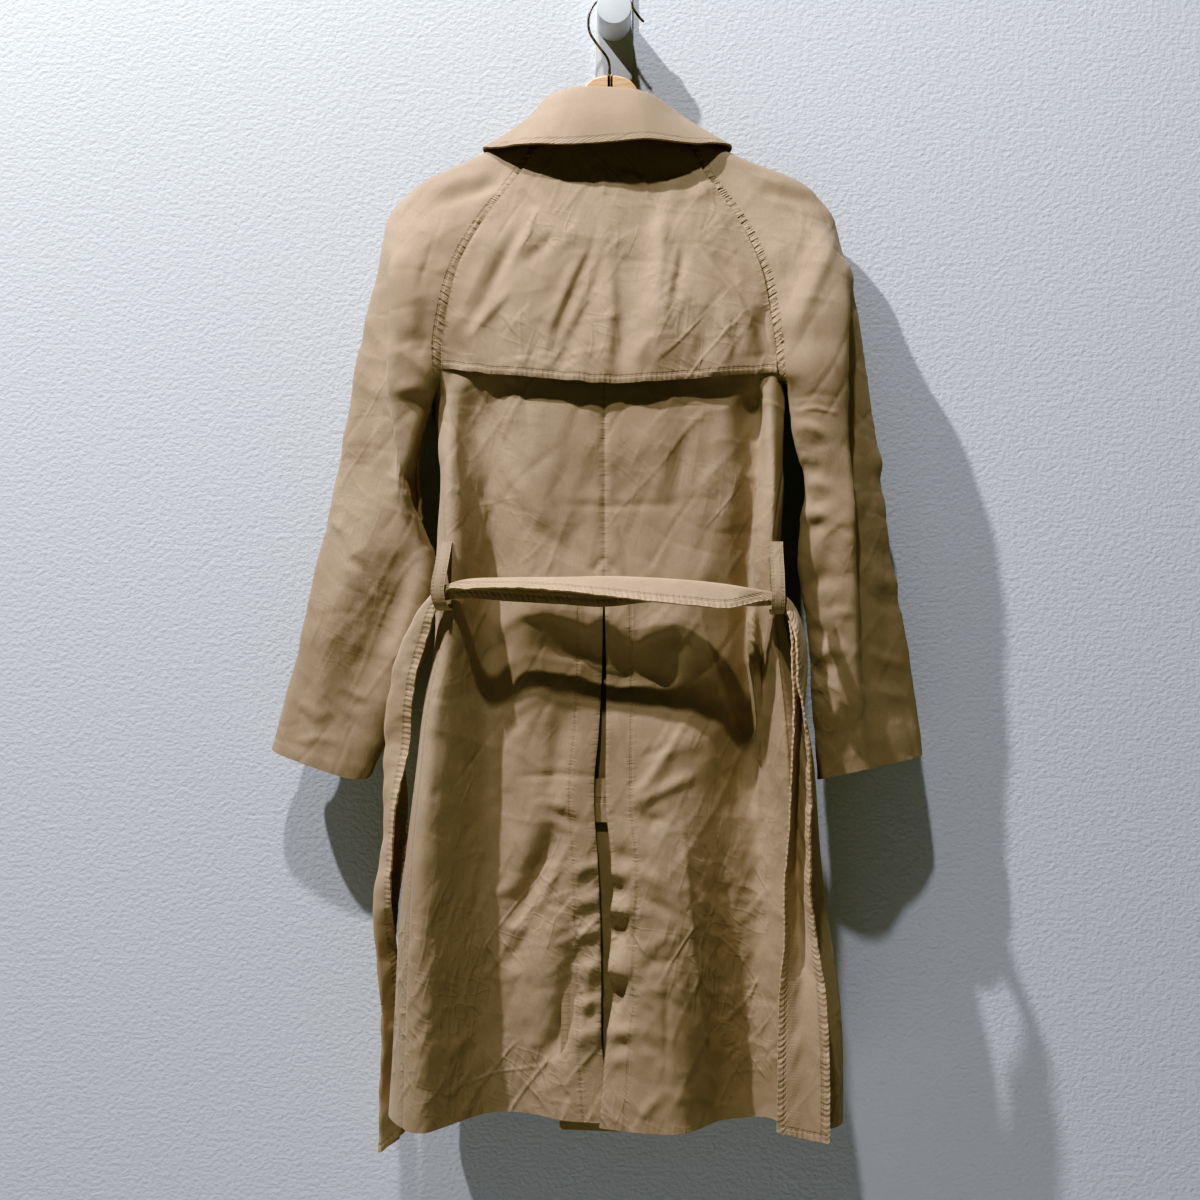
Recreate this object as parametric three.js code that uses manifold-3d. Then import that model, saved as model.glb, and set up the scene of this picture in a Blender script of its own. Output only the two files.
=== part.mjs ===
// Trench coat on a wall hook: the coat hangs by a wooden hanger from a round peg, back outwards.
//
// Millimetres, +Z up. The wall is the plane y = 0 and everything hangs in front of it, in y < 0.
// The origin is on the back of the wall plate, behind the peg's axis. Left and right are as seen
// by someone who faces the wall.
//
// The section tables give each named point as x,d or x,d,lift: x to the right, d the distance out
// from the wall, lift an extra height above the row's own level z. A column is one line down the
// cloth, and a row is one level section round the coat. Cloth is made by running smooth curves
// down the columns and then across them.
import * as THREE from "three";
import { mergeVertices } from "three/addons/utils/BufferGeometryUtils.js";
import Module from "manifold-3d";

const wasm = await Module();
wasm.setup();

// ---------------------------------------------------------------- named sizes
const CLOTH = 1.5; // wall of every cloth panel
const BELT_CLOTH = 2; // two layers sewn together
const SEAM = 0.3; // gap left at every seam
const ARMPIT = -417.5; // level where body and sleeves part
const HEM = -1129;
const CUFF = -780;
const NECK = -122;
const VENT_TOP = -604;

const PLATE = { width: 40, thick: 5, top: 45, bottom: -115, corner: 3 };
const PEG = { radius: 18, out: 50, capThick: 2, edge: 0.8 };
const HANGER = { front: 33, back: 43, joint: -4.2, wire: 1.35, hole: 1.8, holeDepth: 14 };
const LOOP = { width: 13, cloth: 1.5 };

// ---------------------------------------------------------------- section tables
// cb centre back, a1 a2 back panel, fl/rl foot and top of the slope beside the left ridge,
// cr ridge, f v n c g panel edge, valley, fold, crease and ridge on the right, si outline,
// pb pf where the raglan seams run (back, front), fa fb fc front panel, ce its lapped edge.
const torsoLeft = table(`
  z      cb        a1           a2             fl          rl           cr          si             pb          pf          fa            fb            fc             ce
  -122   -10.5,58  -21.5,57.5   -31.5,56.5,0.5 -40,55,1    -46,54,1.5   -50,53,2    -52.5,52.5,2.5 -54,52,3    -61,20,-3   -52,19,-7     -30,16.5,-19  -7.5,15.5,-31  13,15,-41
  -147.5 -10.5,61  -27.5,61     -43.5,60.5     -57,59.5    -66.5,58.5   -73,58      -76.5,57.5     -79,57      -81,21      -69.5,19.5,-2 -41.5,17,-8   -13.5,15.5,-16 13,15,-25
  -177   -10.5,66  -32.5,66     -52.5,65.5     -70,64.5    -82,63.5     -90,63      -94.5,62.5     -98,62      -100,22     -86,20.5      -52.5,17.5,-2 -18.5,15.5,-6  13,15,-12
  -210   -10.5,74  -38,74       -63.5,73.5     -86,72.5    -101.5,71.5  -111.5,71   -117.5,70.5    -121.5,70   -123.5,20   -107,19       -66,16.5      -25,15.5       13,15
  -244.5 -10.5,82  -43.5,82.5   -74,82         -100.5,81.5 -119,80.5    -131,80     -138.5,79.5    -143,79     -145,19     -126,18       -78.5,16.5    -31,15.5       13,15
  -280.5 -10.5,89  -47.5,89.5   -81.5,89.5     -111.5,89   -132,88      -145.5,87.5 -153.5,87.5    -159,87     -161,18     -140,17.5     -88,16        -35.5,15       13,15
  -318   -10.5,95  -50,96       -86,96         -117.5,95.5 -139.5,95    -154,94.5   -162.5,94      -168,94     -170,18     -148,17.5     -93,16        -38,15         13,15
  -357.5 -10.5,99  -51,100      -90,100        -127.5,99.5 -149,99      -161,98.5   -168.5,98      -173,98     -175,20     -152.5,19     -96,16.5      -39.5,15.5     13,15
  -389   -10.5,101 -53,101      -94,100        -138.5,98   -155,97      -164.5,96.5 -170.5,96.5    -174.5,96   -176.5,27   -154,24.5     -97,19        -40,16         13,15
  -417.5 -10.5,102 -54.5,103    -99.5,101      -139,90     -158,99      -166,99     -173,90,1      -182.5,78,3 -187.5,44,3 -180,27       -131,17       -57,16         13,15
  -456   -10.5,105 -53.5,105    -96.5,103      -132,89     -158,108     -167,107    -177.5,92      -176.5,76   -179,46     -170.5,26     -126,16       -57,15         13,15
  -495.5 -10.5,106 -51.5,106    -93.5,105      -126,90     -154,116     -165,117    -174.5,97      -171.5,76   -173.5,46   -166.5,25     -123,16       -57,15         13,15
  -545   -10.5,111 -49.5,111    -89.5,109      -122.5,92   -151,123.5   -164,126    -177.5,101     -168.5,76   -170.5,46   -162.5,24     -120.5,16     -57,15         13,15
  -604   -10.5,121 -47.5,121    -85,117        -120.5,94   -154,132     -163,132    -180.5,103     -167.5,76   -168.5,46   -160,24       -120.5,16     -57,15         13,15
  -653.5 -         -46.5,118    -84,114        -122.5,98   -156,133     -165,134    -180.5,104     -168.5,76   -169.5,46   -161,24       -120.5,16     -57,17         13,16
  -712.5 -         -46.5,113    -83,110        -123.5,100  -162,134     -174.5,137  -192,105       -177.5,76   -177.5,46   -167.5,24     -123,16       -57,18         13,17
  -781.5 -         -46.5,116    -83,110        -124,99     -169.5,137   -182,139    -200,105       -187.5,76   -187,46     -175,24       -125,16       -57,20         13,18
  -850.5 -         -46.5,118    -83,109        -124,98     -177,140     -189.5,140  -206.5,105     -193.5,76   -193.5,46   -180,24       -127,16       -57,21         13,19
  -929.5 -         -47.5,118    -84.5,107      -126,97     -180.5,143   -193,142    -213,106       -199.5,78   -199.5,46   -185.5,24     -129,16       -57,23         13,20
  -1008  -         -48.5,116    -86.5,104      -127,96     -182,146     -196,144    -217.5,107     -203.5,78   -203.5,46   -189.5,24     -131.5,16     -57,24         13,21
  -1077  -         -48.5,114    -87.5,100      -128,95     -183.5,149   -197.5,146  -221.5,108     -205.5,78   -204.5,46   -192,24       -131.5,16     -57,24.5       13,22
  -1129  -         -48.5,113,-1 -89,97,0.5     -128,94     -184.5,151,1 -198,148,1  -224.5,109,4.5 -206.5,80,3 -206,46,1   -193,24,-1    -131.5,16,-1  -57,25,-1      13,22,-1
`);
const torsoRight = table(`
  z      cb        a1            a2            f            v           n          c          g           si           pb          pf         fa           fb          fc           ce
  -122   -10.5,58  1.5,57.5      12.5,56.5,0.5 21,55.5,1    26,54.5,1.5 30,53.5,2  32.5,53,2  35,52.5,2.5 36,52,2.5    37,52,3     44.5,20,-3 35,18,-7     11.5,14,-19 -12,11.5,-31 -34,11,-41
  -147.5 -10.5,61  11,61         31,60.5       46.5,59.5    56,59       63,58.5    68.5,58    72.5,57.5   74.5,57      76,57       78,21      64.5,18.5,-2 31,14.5,-8  -2.5,12,-16  -34,11,-25
  -177   -10.5,66  15.5,66       39.5,65.5     58,64.5      69.5,64     78,63.5    84.5,63    89,62.5     91.5,62      93.5,62     95.5,22    80,19.5      41,14.5,-2  2.5,12,-6    -34,11,-12
  -210   -10.5,74  21,74         50,73.5       72.5,72.5    86.5,72     96.5,71.5  104,71     109.5,70.5  113,70       115.5,70    117.5,20   99,18        54,14       8.5,11.5     -34,11
  -244.5 -10.5,82  26,82.5       59.5,82       85.5,81.5    101.5,81    113,80     122,80     128.5,79.5  132,79       135,79      137,19     116.5,17     65,13.5     14,11.5      -34,11
  -280.5 -10.5,89  29,89.5       65.5,89.5     94,89        111.5,88.5  124,88     133.5,87.5 141,87.5    145,87       148,87      150,18     128,16.5     72.5,13.5   17.5,11.5    -34,11
  -318   -10.5,95  31,96         69,96         99,95.5      117.5,95.5  130.5,95   140.5,94.5 148,94.5    152,94       155.5,94    157.5,18   134.5,16.5   77,13.5     19.5,11.5    -34,11
  -357.5 -10.5,99  32.5,100      75,100        111,99.5     130,99      140.5,99   147,98.5   154,98.5    158,98       161,98      163,20     139.5,18     80,14       21,11.5      -34,11
  -389   -10.5,101 35,101        80.5,100      122.5,98.5   141.5,97.5  148.5,97   154,96.5   158,96.5    161.5,96     164.5,96    166.5,27   142.5,23.5   82,16.5     22,12.5      -34,11
  -417.5 -10.5,102 33,103        78.5,101      120,97       145.5,86    151,97     155.5,101  161.5,99    171,88,6     174.5,76,17 180,44,17  172.5,27     123,17      38.5,12      -34,11
  -456   -10.5,105 33,106        78,104        118,101      145.5,85    149.5,99   153.5,108  158,109     169.5,92     168.5,76    171,46     164.5,26     118,16      38.5,11      -34,11
  -495.5 -10.5,106 33,107        77,106        116,103      144.5,86    148,103    152,114    157,118     168.5,97     166.5,76    169,46     162.5,25     114.5,16    38.5,11      -34,11
  -545   -10.5,111 33,112        75,111        114,103      140,88      143,111    147.5,121  155,125     167,101      164.5,76    166,46     159.5,24     112.5,16    38.5,11      -34,11
  -604   -10.5,121 33,122        74.5,119      112,105      135.5,92    138,117    142.5,122  153.5,130   167,103      162.5,76    164,46     156,24       112.5,16    38.5,11      -34,11
  -653.5 -         33,119        74.5,117      111,105      134,93      134.5,117  144,113    157.5,132   175,104      168.5,76    169,46     160.5,24     114.5,16    38.5,12      -34,11
  -712.5 -         32.5,117      74,117        111,106      136.5,92    140,112    146.5,109  164,134     184.5,105    176.5,76    176.5,46   167.5,24     117,16      38.5,13      -34,11
  -781.5 -         32.5,123      72,122        111,106      138.5,93    142,103    148.5,105  169.5,137   196,105      186.5,76    187,46     177,24       119,16      38.5,14      -34,11
  -850.5 -         32.5,130      69.5,128      111,106      137.5,98    143.5,99   151.5,108  175,139     204.5,106    195,76      195,46     185.5,24     121,16      38.5,15      -34,11
  -929.5 -         32,137        67.5,134      111,106      137.5,97    145.5,100  156.5,114  179.5,141   213,107      202.5,78    203.5,46   193,24       123,16      38.5,16      -34,11
  -1008  -         32,143        67,140        111,105      135.5,97    145,101    160,117    183,143     220,108      209,78      209.5,46   199.5,24     125,16      38.5,17      -34,11
  -1077  -         33.5,147      66.5,146      109,104      133.5,96    147,102    164,119    186,144     223.5,109    213,78      214,46     202.5,24     125,16      38.5,17      -34,11
  -1129  -         35.5,149,-0.5 66.5,149      107,103,-3.5 131.5,96,-4 149,103,-1 165.5,121  187.5,145   224.5,110,-3 214.5,80,-1 216,46     204.5,24,-1  125,16,-1   38.5,17,-1   -34,11,-1
`);
// rs raglan seam or inner back, e1 e2 back of the sleeve, cr the pressed ridge, tk the tuck behind it,
// ou outline and overarm seam, ff f1 f2 front of the sleeve, rf front raglan seam, in inner side.
const sleeveLeft = table(`
  z      rs          e1            e2           cr           tk           ou          ff          f1         f2             rf          in
  -122   -54,52,3    -60,51,5      -65.5,49,7.5 -69,46.5,9.5 -72,42.5,11  -74.5,36,12 -72.5,30,10 -69.5,26,7 -65.5,22.5,2.5 -61,20,-3   -
  -147.5 -79,57      -89,56        -103,54      -117.5,50    -129,45      -137,37.5   -129.5,30   -117,27    -99.5,24       -81,21      -
  -177   -98,62      -118,60       -143.5,56    -167.5,52    -187,46      -196.5,38   -188,30     -158.5,27  -129,24        -100,22     -
  -210   -121.5,70   -144,70       -172,67      -199.5,60    -225,49      -233.5,39   -227,29     -192.5,24  -158,21        -123.5,20   -
  -244.5 -143,79     -163,80       -187.5,80    -214.5,74    -234.5,58    -243,42     -236,27     -205,20    -175.5,18      -145,19     -
  -280.5 -159,87     -178,90       -202,94      -226,92      -232,72      -247.5,50   -238,27     -212.5,19  -186.5,17      -161,18     -
  -318   -168,94     -183.5,99     -205,104     -225,101     -227,81      -255.5,54   -244.5,28   -219.5,19  -195,18        -170,18     -
  -357.5 -173,98     -186.5,104    -206,109     -225,105     -225.5,84    -263.5,56   -251.5,29   -225,20    -200,19        -175,20     -
  -389   -174.5,96   -186.5,105    -205.5,110   -224.5,107   -224.5,85    -269,57     -255.5,30   -228.5,21  -203.5,21      -176.5,27   -
  -417.5 -182.5,78,3 -183,90,2     -201,104     -222.5,107   -223,86      -274,58     -260,31     -234.5,22  -208.5,24      -187.5,44,3 -185,61,3
  -456   -186,74     -186,82       -203,99      -218,107     -220.5,86    -282,58     -267.5,31   -242,24    -218.5,28      -204,44     -195,58
  -495.5 -186.5,70   -187,77       -199,91      -212,101     -219.5,87    -288.5,58   -274.5,31   -249.5,24  -224.5,28      -206,43     -196,56
  -535   -184,70     -184,78       -190,87      -196,94      -221,89      -295.5,58   -281.5,31   -255,24    -227.5,28      -204,42     -193,57
  -574.5 -180.5,66   -182.5,76     -190.5,84    -206,88      -241,86      -305.5,58   -289.5,31   -261.5,24  -230,28        -197,41     -183,53
  -624   -183,62     -186,73       -197,81      -216.5,85    -255,83      -316.5,58   -300.5,31   -270.5,24  -236.5,28      -201.5,40   -185.5,50
  -673   -194.5,62   -198.5,72     -211.5,79    -232,83      -267.5,81    -328,58     -312,31     -282,24    -249,28        -214,40     -197,50
  -722.5 -216,62     -221,71       -232,77      -251.5,80    -280.5,78    -340,58     -324.5,31   -295.5,24  -265.5,28      -233.5,40   -218.5,50
  -780   -248,62,-11 -251.5,70,-16 -259,74,-17  -273,77,-15  -299.5,75,-7 -351,58,12  -342,32,14  -316,25,10 -290,28,3      -263,40,-3  -251,50,-7
`);
const sleeveRight = table(`
  z      rs          e1         e2           cr            tk          ou         ff         f1        f2            rf         in
  -122   37,52,3     43.5,51,5  48.5,49,7.5  52.5,46.5,9.5 55,42.5,11  57.5,36,12 55.5,30,10 52.5,26,7 48.5,22.5,2.5 44.5,20,-3 -
  -147.5 76,57       85.5,56    98.5,54      110,50        117,45      122,37.5   117.5,30   108,27    94,24         78,21      -
  -177   93.5,62     115,60     140,56       161.5,52      181.5,46    192.5,38   183,30     153.5,27  123.5,24      95.5,22    -
  -210   115.5,70    138.5,70   166,67       192.5,60      216.5,49    225,39     218,29     184.5,24  151,21        117.5,20   -
  -244.5 135,79      160,81     186,80       212,73        227,58      235.5,42   228.5,27   197.5,20  167,18        137,19     -
  -280.5 148,87      171.5,92   200.5,95     231,88        243.5,70    243,50     234,27     206,19    178,17        150,18     -
  -318   155.5,94    172.5,101  200,107      234,98        237,82      250.5,55   240.5,29   212.5,20  184.5,18      157.5,18   -
  -357.5 161,98      175,107    202,113      233,105       234,85      257,57     244,29     216.5,20  189.5,19      163,20     -
  -389   164.5,96    175.5,109  201.5,116    232,107       232.5,87    260.5,58   246.5,30   220,21    193,21        166.5,27   -
  -417.5 174.5,76,17 176,94,10  198,112      232,108       233,88      264,59     251,31     226,22    202,24        180,44,17  177,60,17
  -456   185,76      181,90     200.5,108    233,108       234.5,89    268.5,59   256,31     232,22    207.5,25      192.5,42   187,59
  -495.5 194,75      191,89     207,101      236,106       238,89      274.5,59   262.5,31   239.5,22  216,25        201,40     196.5,57
  -535   191,75      188,90     206,99       238.5,105     240.5,89    281,59     268.5,31   244.5,23  220,26        199.5,40   193.5,57
  -574.5 189,75      186,89     206.5,99     240.5,103     244,89      287.5,59   274.5,31   248.5,23  220,26        200.5,40   191.5,57
  -624   193.5,73    191.5,88   211.5,97     242.5,102     248,89      296,59     282,31     254,23    224.5,26      205.5,40   197,57
  -673   197.5,71    195.5,85   214,96       242.5,100     251,88      304,59     290,31     260,23    229.5,26      209.5,40   201,55
  -722.5 203,67      201,81     218,93       247,97        254.5,88    310.5,59   296.5,31   266,23    234.5,26      214.5,39   206,52
  -780   210,63,-13  208,76,-16 225.5,88,-11 251,92,-5     268.5,84,-2 317,59,6.5 308.5,32,9 278,25,4  243,28,-2     221,40,-8  212,50,-10
`);
// the two edges of the centre vent, below the belt
const ventEdges = table(`
  z       left      right
  -620    -11.5,120 -10,120
  -663    -12,117   -9.5,117
  -712.5  -14,114   -9,115
  -752    -16.5,115 -9,117
  -786.5  -20,117   -9.5,119
  -826    -20,119   -8.5,121
  -860.5  -17.5,120 -4.5,124
  -900    -15.5,120 -3,126
  -939    -14,120   -6,128
  -983.5  -13.5,119 -6,129
  -1023   -13.5,119 -7,130
  -1057.5 -12.5,118 -10,131
  -1077   -10.5,118 -12,132
  -1102   -9,118    -14,133
  -1129   -7,119    -16,133
`);
// where the side seam runs, counted in columns outwards from the centre back
const sideSeam = table(`
  z       left  right
  -417.5  7.5   9.5
  -456    6.6   8.6
  -495.5  5.8   7.7
  -545    5.25  7.2
  -604    5.3   7.15
  -1129   5.3   7.15
`);
// lower edge of the storm flap, and how far it stands off the back
const flapEdge = table(`
  x      z       off
  -175   -381.5  0.4
  -160   -383    3
  -110   -389.5  9
  -55    -396    11
  -10.5  -399    12
  40     -397.5  11.5
  95     -392    9
  148    -386.5  3
  163    -385.5  0.4
`);
// collar: roll line, middle and outer edge at fifteen places from the left front round to the right
const collar = table(`
  name  roll             mid                edge
  L7    -43.5,10,-105    -55,8.5,-121.5     -73.5,7.5,-151
  L6    -61.5,15,-100.5  -78.5,12,-120.5    -108,12.5,-144.5
  L5    -70,24,-96       -91.5,22.5,-114.5  -131.5,24.5,-147.5
  L4    -72.5,34,-94     -94,37,-117.5      -136,38,-144.5
  L3    -68,43,-92       -81,50,-111.5      -124,57,-149
  L2    -55,52,-89       -67,66,-115        -94,79,-152.5
  L1    -35.5,59,-87.5   -41,77,-118        -55,90,-154.5
  C     -8.5,60,-88      -10.5,80,-119      -10.5,92,-153.5
  R1    22.5,59,-90.5    29,77,-119         35.5,90,-151
  R2    39,52,-93.5      51,66,-119         77.5,79,-150
  R3    51,43,-98        65,50,-115         107,57.5,-145
  R4    56.5,34,-100     79.5,37,-116.5     122,38,-143
  R5    54.5,24,-100.5   76,22.5,-117       118,24,-146
  R6    46,15,-102.5     62,12,-122         95,12.5,-144.5
  R7    28,10,-106       39.5,8.5,-121.5    58,7.5,-151
`);
const neckSeam = table(`
  name  x,d,z
  L7    -44,17.7,-132.2
  L6    -61,20.3,-123.4
  L5    -71,28,-113
  L4    -74.5,36,-110
  L3    -69,46.5,-112.5
  L2    -54,52,-119
  L1    -34,56.3,-121
  C     -10.5,58,-122
  R1    14.5,56.2,-121
  R2    37,52,-119
  R3    52.5,46.5,-112.5
  R4    57.5,36,-110
  R5    54,28,-113
  R6    44.5,20.3,-123.4
  R7    27,17.3,-131.8
`);
// belt: the fold along its middle (S) and its two edges (F nearer the outside, B behind)
const belt = table(`
  name       S                 F                 B
  left_end   -237,84,-1172     -214.5,66,-1158   -221.5,60,-1167.5
  left_1100  -237,86,-1119     -217,70,-1121.5   -223,62,-1126.5
  left_1050  -234.5,87,-1068   -216.5,72,-1072   -222,64,-1075.5
  left_1000  -235.5,88,-1017.5 -217.5,74,-1021.5 -222.5,66,-1023.5
  left_950   -239.5,90,-968.5  -220.5,80,-967    -224,70,-971.5
  left_900   -242,92,-917.5    -222.5,108,-908   -218,84,-916.5
  left_850   -233,92,-865.5    -220.5,112,-862   -211,84,-867
  left_800   -230.5,95,-814.5  -216,113,-812     -208,91,-815
  left_750   -230.5,98,-764    -204.5,107,-763   -212,90,-765
  left_700   -225.5,104,-711.5 -200.5,115,-717   -207,97,-715
  left_660   -216,112,-671.5   -192.5,123,-677   -200,104,-674.5
  left_625   -200.5,122,-637.5 -180.5,133,-643   -186.5,117,-640.5
  left_605   -185.5,132,-617   -175,139.5,-626   -178,129.5,-622
  left_loop  -172,140,-603     -166.5,145,-614   -167.5,136,-615
  span_447   -163,143,-599.5   -162,147,-604.5   -162.5,137.5,-613.5
  span_467   -143.5,143,-594.5 -143,151.5,-603.5 -144,141,-612
  span_507   -104.5,145,-593   -104,156.5,-602.5 -104.5,145,-615
  span_561   -52,147,-592.5    -52,160,-605.5    -52.5,149,-618
  span_604   -11,148.5,-591.5  -11,162,-610      -11,151,-620.5
  span_649   32.5,149,-593     32.5,162,-615     32.5,150,-616
  span_695   76.5,147.5,-596   76.5,160,-619.5   77,147,-614
  span_727   108,145.5,-599.5  107.5,156,-622    108.5,143,-616
  span_748   128.5,147,-603    128,150,-618      129,140,-619.5
  span_766   146,144,-606      145.5,147,-614.5  147,137,-619
  right_loop 161,142,-609      158.5,145.5,-616  158.5,136,-618
  right_606  168,142,-613      164,148,-619.5    163,137,-622
  right_618  176.5,143,-625.5  168.5,153,-634    167,144,-632.5
  right_640  183.5,144,-650.5  172.5,163,-653    169,154,-653.5
  right_680  185,144,-691.5    173.5,165,-691    169.5,160,-691.5
  right_716  181.5,141,-726.5  180,165,-724.5    170.5,162,-725
  right_750  178.5,140,-759.5  186,163,-757      169,162,-757.5
  right_790  176.5,140,-798.5  187,162,-795.5    167.5,162,-795.5
  right_842  176.5,140,-849    187,162,-845      165,162,-845
  right_880  177.5,141,-885.5  186,163,-881.5    161.5,161,-881.5
  right_910  177.5,142,-914.5  189,162,-910      161,162,-910
  right_940  178,145,-943      193,161,-939      161.5,161,-939
  right_984  180,152,-983.5    200.5,160,-981.5  157.5,160,-981.5
  right_1030 180,156,-1026.5   204,160,-1025.5   156,158,-1026
  right_1080 181,157,-1074.5   205.5,160,-1073.5 155.5,158,-1074
  right_end  181,157,-1130.5   205.5,160,-1135   155,157,-1125
`);
// belt loops: centre line from the upper stitching out over the belt and back under it
const loopLeft = table(`
  name    x,d,z
  top     -165.9,129.8,-557
  out     -166.8,136,-567
  over    -168.7,144.5,-583
  front   -171.3,149.5,-599.5
  low     -171,150,-611
  under   -168,146.5,-620.5
  back    -165.5,140,-623.5
  end     -164.5,135.5,-621
`);
const loopRight = table(`
  name    x,d,z
  top     157.7,131.5,-557
  out     157.4,136,-567
  over    157.4,144.5,-585
  front   157.2,151,-602
  low     157.2,152,-614
  under   157,148,-624.5
  back    157,140,-627
  end     157,134,-623.5
`);
const underlay = table(`
  z      left     right
  -612   -40,100  25,100
  -700   -44,104  26,104
  -790   -48,106  28,107
  -900   -51,107  30,109
  -1010  -53,107  32,111
  -1141  -55,106  34,112
`);
const tab = table(`
  z     left     right
  -791  -26,112  9,113
  -812  -26,112  9,113
  -834  -26,112  9,113
`);
// one half of the hanger: outline from the joint along the top to the tip and back underneath
const armTop = table(`
  name    x     z
  dome    0     -66.7
  dome1   10    -68
  dome2   19    -71.5
  dome3   26    -78
  neck    31    -88
  neck1   42    -104
  neck2   53    -113.5
  run     70    -122.5
  run1    95    -135.5
  run2    125   -150
  run3    155   -164
  run4    180   -176
  run5    200   -189
  tip     207   -199
`);
const armDepth = table(`
  x    deep
  0    46
  26   36
  53   24
  95   21
  155  19
  200  17
  207  12
`);
const hookLine = table(`
  name    x      z
  end     -4.8   -79
  stem    -4.8   -66
  stem1   -5.3   -53
  bend    -8.4   -45.8
  bend1   -14.7  -37.5
  bend2   -20.9  -29.1
  side    -25.1  -21.8
  side1   -26.8  -13.4
  side2   -26.2  -4
  side3   -23.2  4.2
  top     -17.4  11.6
  top1    -9.5   17.4
  top2    0      19.8
  top3    9.4    17.5
  top4    16.2   11.6
  lip     19.9   4.4
  lip1    24     -2
  lip2    28.1   -7.2
  tip     31.3   -10.3
`);

// ---------------------------------------------------------------- reading and following tables
function table(text) {
  const lines = text.trim().split("\n").map((line) => line.trim().split(/\s+/));
  const names = lines[0].slice(1);
  const rows = lines.slice(1).map((cells) => ({
    key: Number.isNaN(Number(cells[0])) ? cells[0] : Number(cells[0]),
    cells: cells.slice(1).map((c) => (c === "-" ? null : c.split(",").map(Number))),
  }));
  return { names, rows };
}

// a smooth curve through knots { t, p }, clamped at its ends
function follow(knots, t) {
  const n = knots.length;
  const up = knots[n - 1].t > knots[0].t ? 1 : -1;
  const s = Math.min(Math.max(t * up, knots[0].t * up), knots[n - 1].t * up);
  let i = 0;
  while (i < n - 2 && s > knots[i + 1].t * up) i += 1;
  const slope = (j, k) => {
    const a = knots[j];
    const b = knots[j + 1];
    return (b.p[k] - a.p[k]) / (b.t - a.t);
  };
  const tangent = (j, k) => {
    if (j === 0) return slope(0, k);
    if (j === n - 1) return slope(n - 2, k);
    const h0 = Math.abs(knots[j].t - knots[j - 1].t);
    const h1 = Math.abs(knots[j + 1].t - knots[j].t);
    return (slope(j - 1, k) * h1 + slope(j, k) * h0) / (h0 + h1);
  };
  const a = knots[i];
  const b = knots[i + 1];
  const h = b.t - a.t;
  const w = (s * up - a.t) / h;
  return a.p.map((_, k) => {
    const m0 = tangent(i, k) * h;
    const m1 = tangent(i + 1, k) * h;
    const w2 = w * w;
    const w3 = w2 * w;
    return (2 * w3 - 3 * w2 + 1) * a.p[k] + (w3 - 2 * w2 + w) * m0 + (3 * w2 - 2 * w3) * b.p[k] + (w3 - w2) * m1;
  });
}

// a smooth curve across four neighbouring points, at w from the second to the third
function across(p0, p1, p2, p3, w) {
  const dist = (a, b) => Math.max(Math.sqrt(Math.hypot(a[0] - b[0], a[1] - b[1], a[2] - b[2])), 0.05);
  const d0 = dist(p0, p1);
  const d1 = dist(p1, p2);
  const d2 = dist(p2, p3);
  return p1.map((_, k) => {
    const m1 = ((p1[k] - p0[k]) / d0 - (p2[k] - p0[k]) / (d0 + d1) + (p2[k] - p1[k]) / d1) * d1;
    const m2 = ((p2[k] - p1[k]) / d1 - (p3[k] - p1[k]) / (d1 + d2) + (p3[k] - p2[k]) / d2) * d1;
    const w2 = w * w;
    const w3 = w2 * w;
    return (2 * w3 - 3 * w2 + 1) * p1[k] + (w3 - 2 * w2 + w) * m1 + (3 * w2 - 2 * w3) * p2[k] + (w3 - w2) * m2;
  });
}

// one column of a section table as a function of the level z, giving [x, d, height]
function column(tab, name, more = []) {
  const c = tab.names.indexOf(name);
  const knots = tab.rows
    .filter((row) => row.cells[c])
    .map((row) => ({ t: row.key, p: [row.cells[c][0], row.cells[c][1], row.key + (row.cells[c][2] || 0)] }));
  const all = knots.concat(more);
  return (z) => follow(all, z);
}

// a run of columns; at(u, z) is the cloth's outer face, u counting columns
class Ring {
  constructor(columns, closed = false, ghostStart = null, ghostEnd = null) {
    Object.assign(this, { columns, closed, ghostStart, ghostEnd });
  }
  at(u, z) {
    const n = this.columns.length;
    const last = this.closed ? n : n - 1;
    const s = Math.min(Math.max(u, this.closed ? -n : 0), this.closed ? 2 * n : last);
    const i = Math.min(Math.floor(s), this.closed ? Infinity : n - 2);
    const get = (j) => {
      if (this.closed) return this.columns[((j % n) + n) % n](z);
      if (j < 0) return this.beyond(this.ghostStart, 0, 1, z);
      if (j >= n) return this.beyond(this.ghostEnd, n - 1, n - 2, z);
      return this.columns[j](z);
    };
    return across(get(i - 1), get(i), get(i + 1), get(i + 2), s - i);
  }
  beyond(ghost, edge, inner, z) {
    const a = this.columns[edge](z);
    const b = this.columns[inner](z);
    const plain = a.map((v, k) => 2 * v - b[k]);
    if (!ghost) return plain;
    const { point, weight } = ghost(z);
    return plain.map((v, k) => v + (point[k] - v) * weight);
  }
}

// ---------------------------------------------------------------- the coat's surfaces
const backNamesLeft = torsoLeft.names.slice(0, torsoLeft.names.indexOf("pb") + 1); // cb .. pb
const backNamesRight = torsoRight.names.slice(0, torsoRight.names.indexOf("pb") + 1);
const frontNames = ["pf", "fa", "fb", "fc", "ce"];
const sleeveBack = ["e1", "e2", "cr", "tk", "ou"];
const sleeveFront = ["ff", "f1", "f2"];

const ventKnots = (side) =>
  ventEdges.rows.map((row) => {
    const [x, d] = row.cells[side];
    const fall = row.key === HEM ? (side === 0 ? -2 : -1) : 0;
    return { t: row.key, p: [x, d, row.key + fall] };
  });
const centreLeft = column(torsoLeft, "cb", ventKnots(0));
const centreRight = column(torsoRight, "cb", ventKnots(1));

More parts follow.
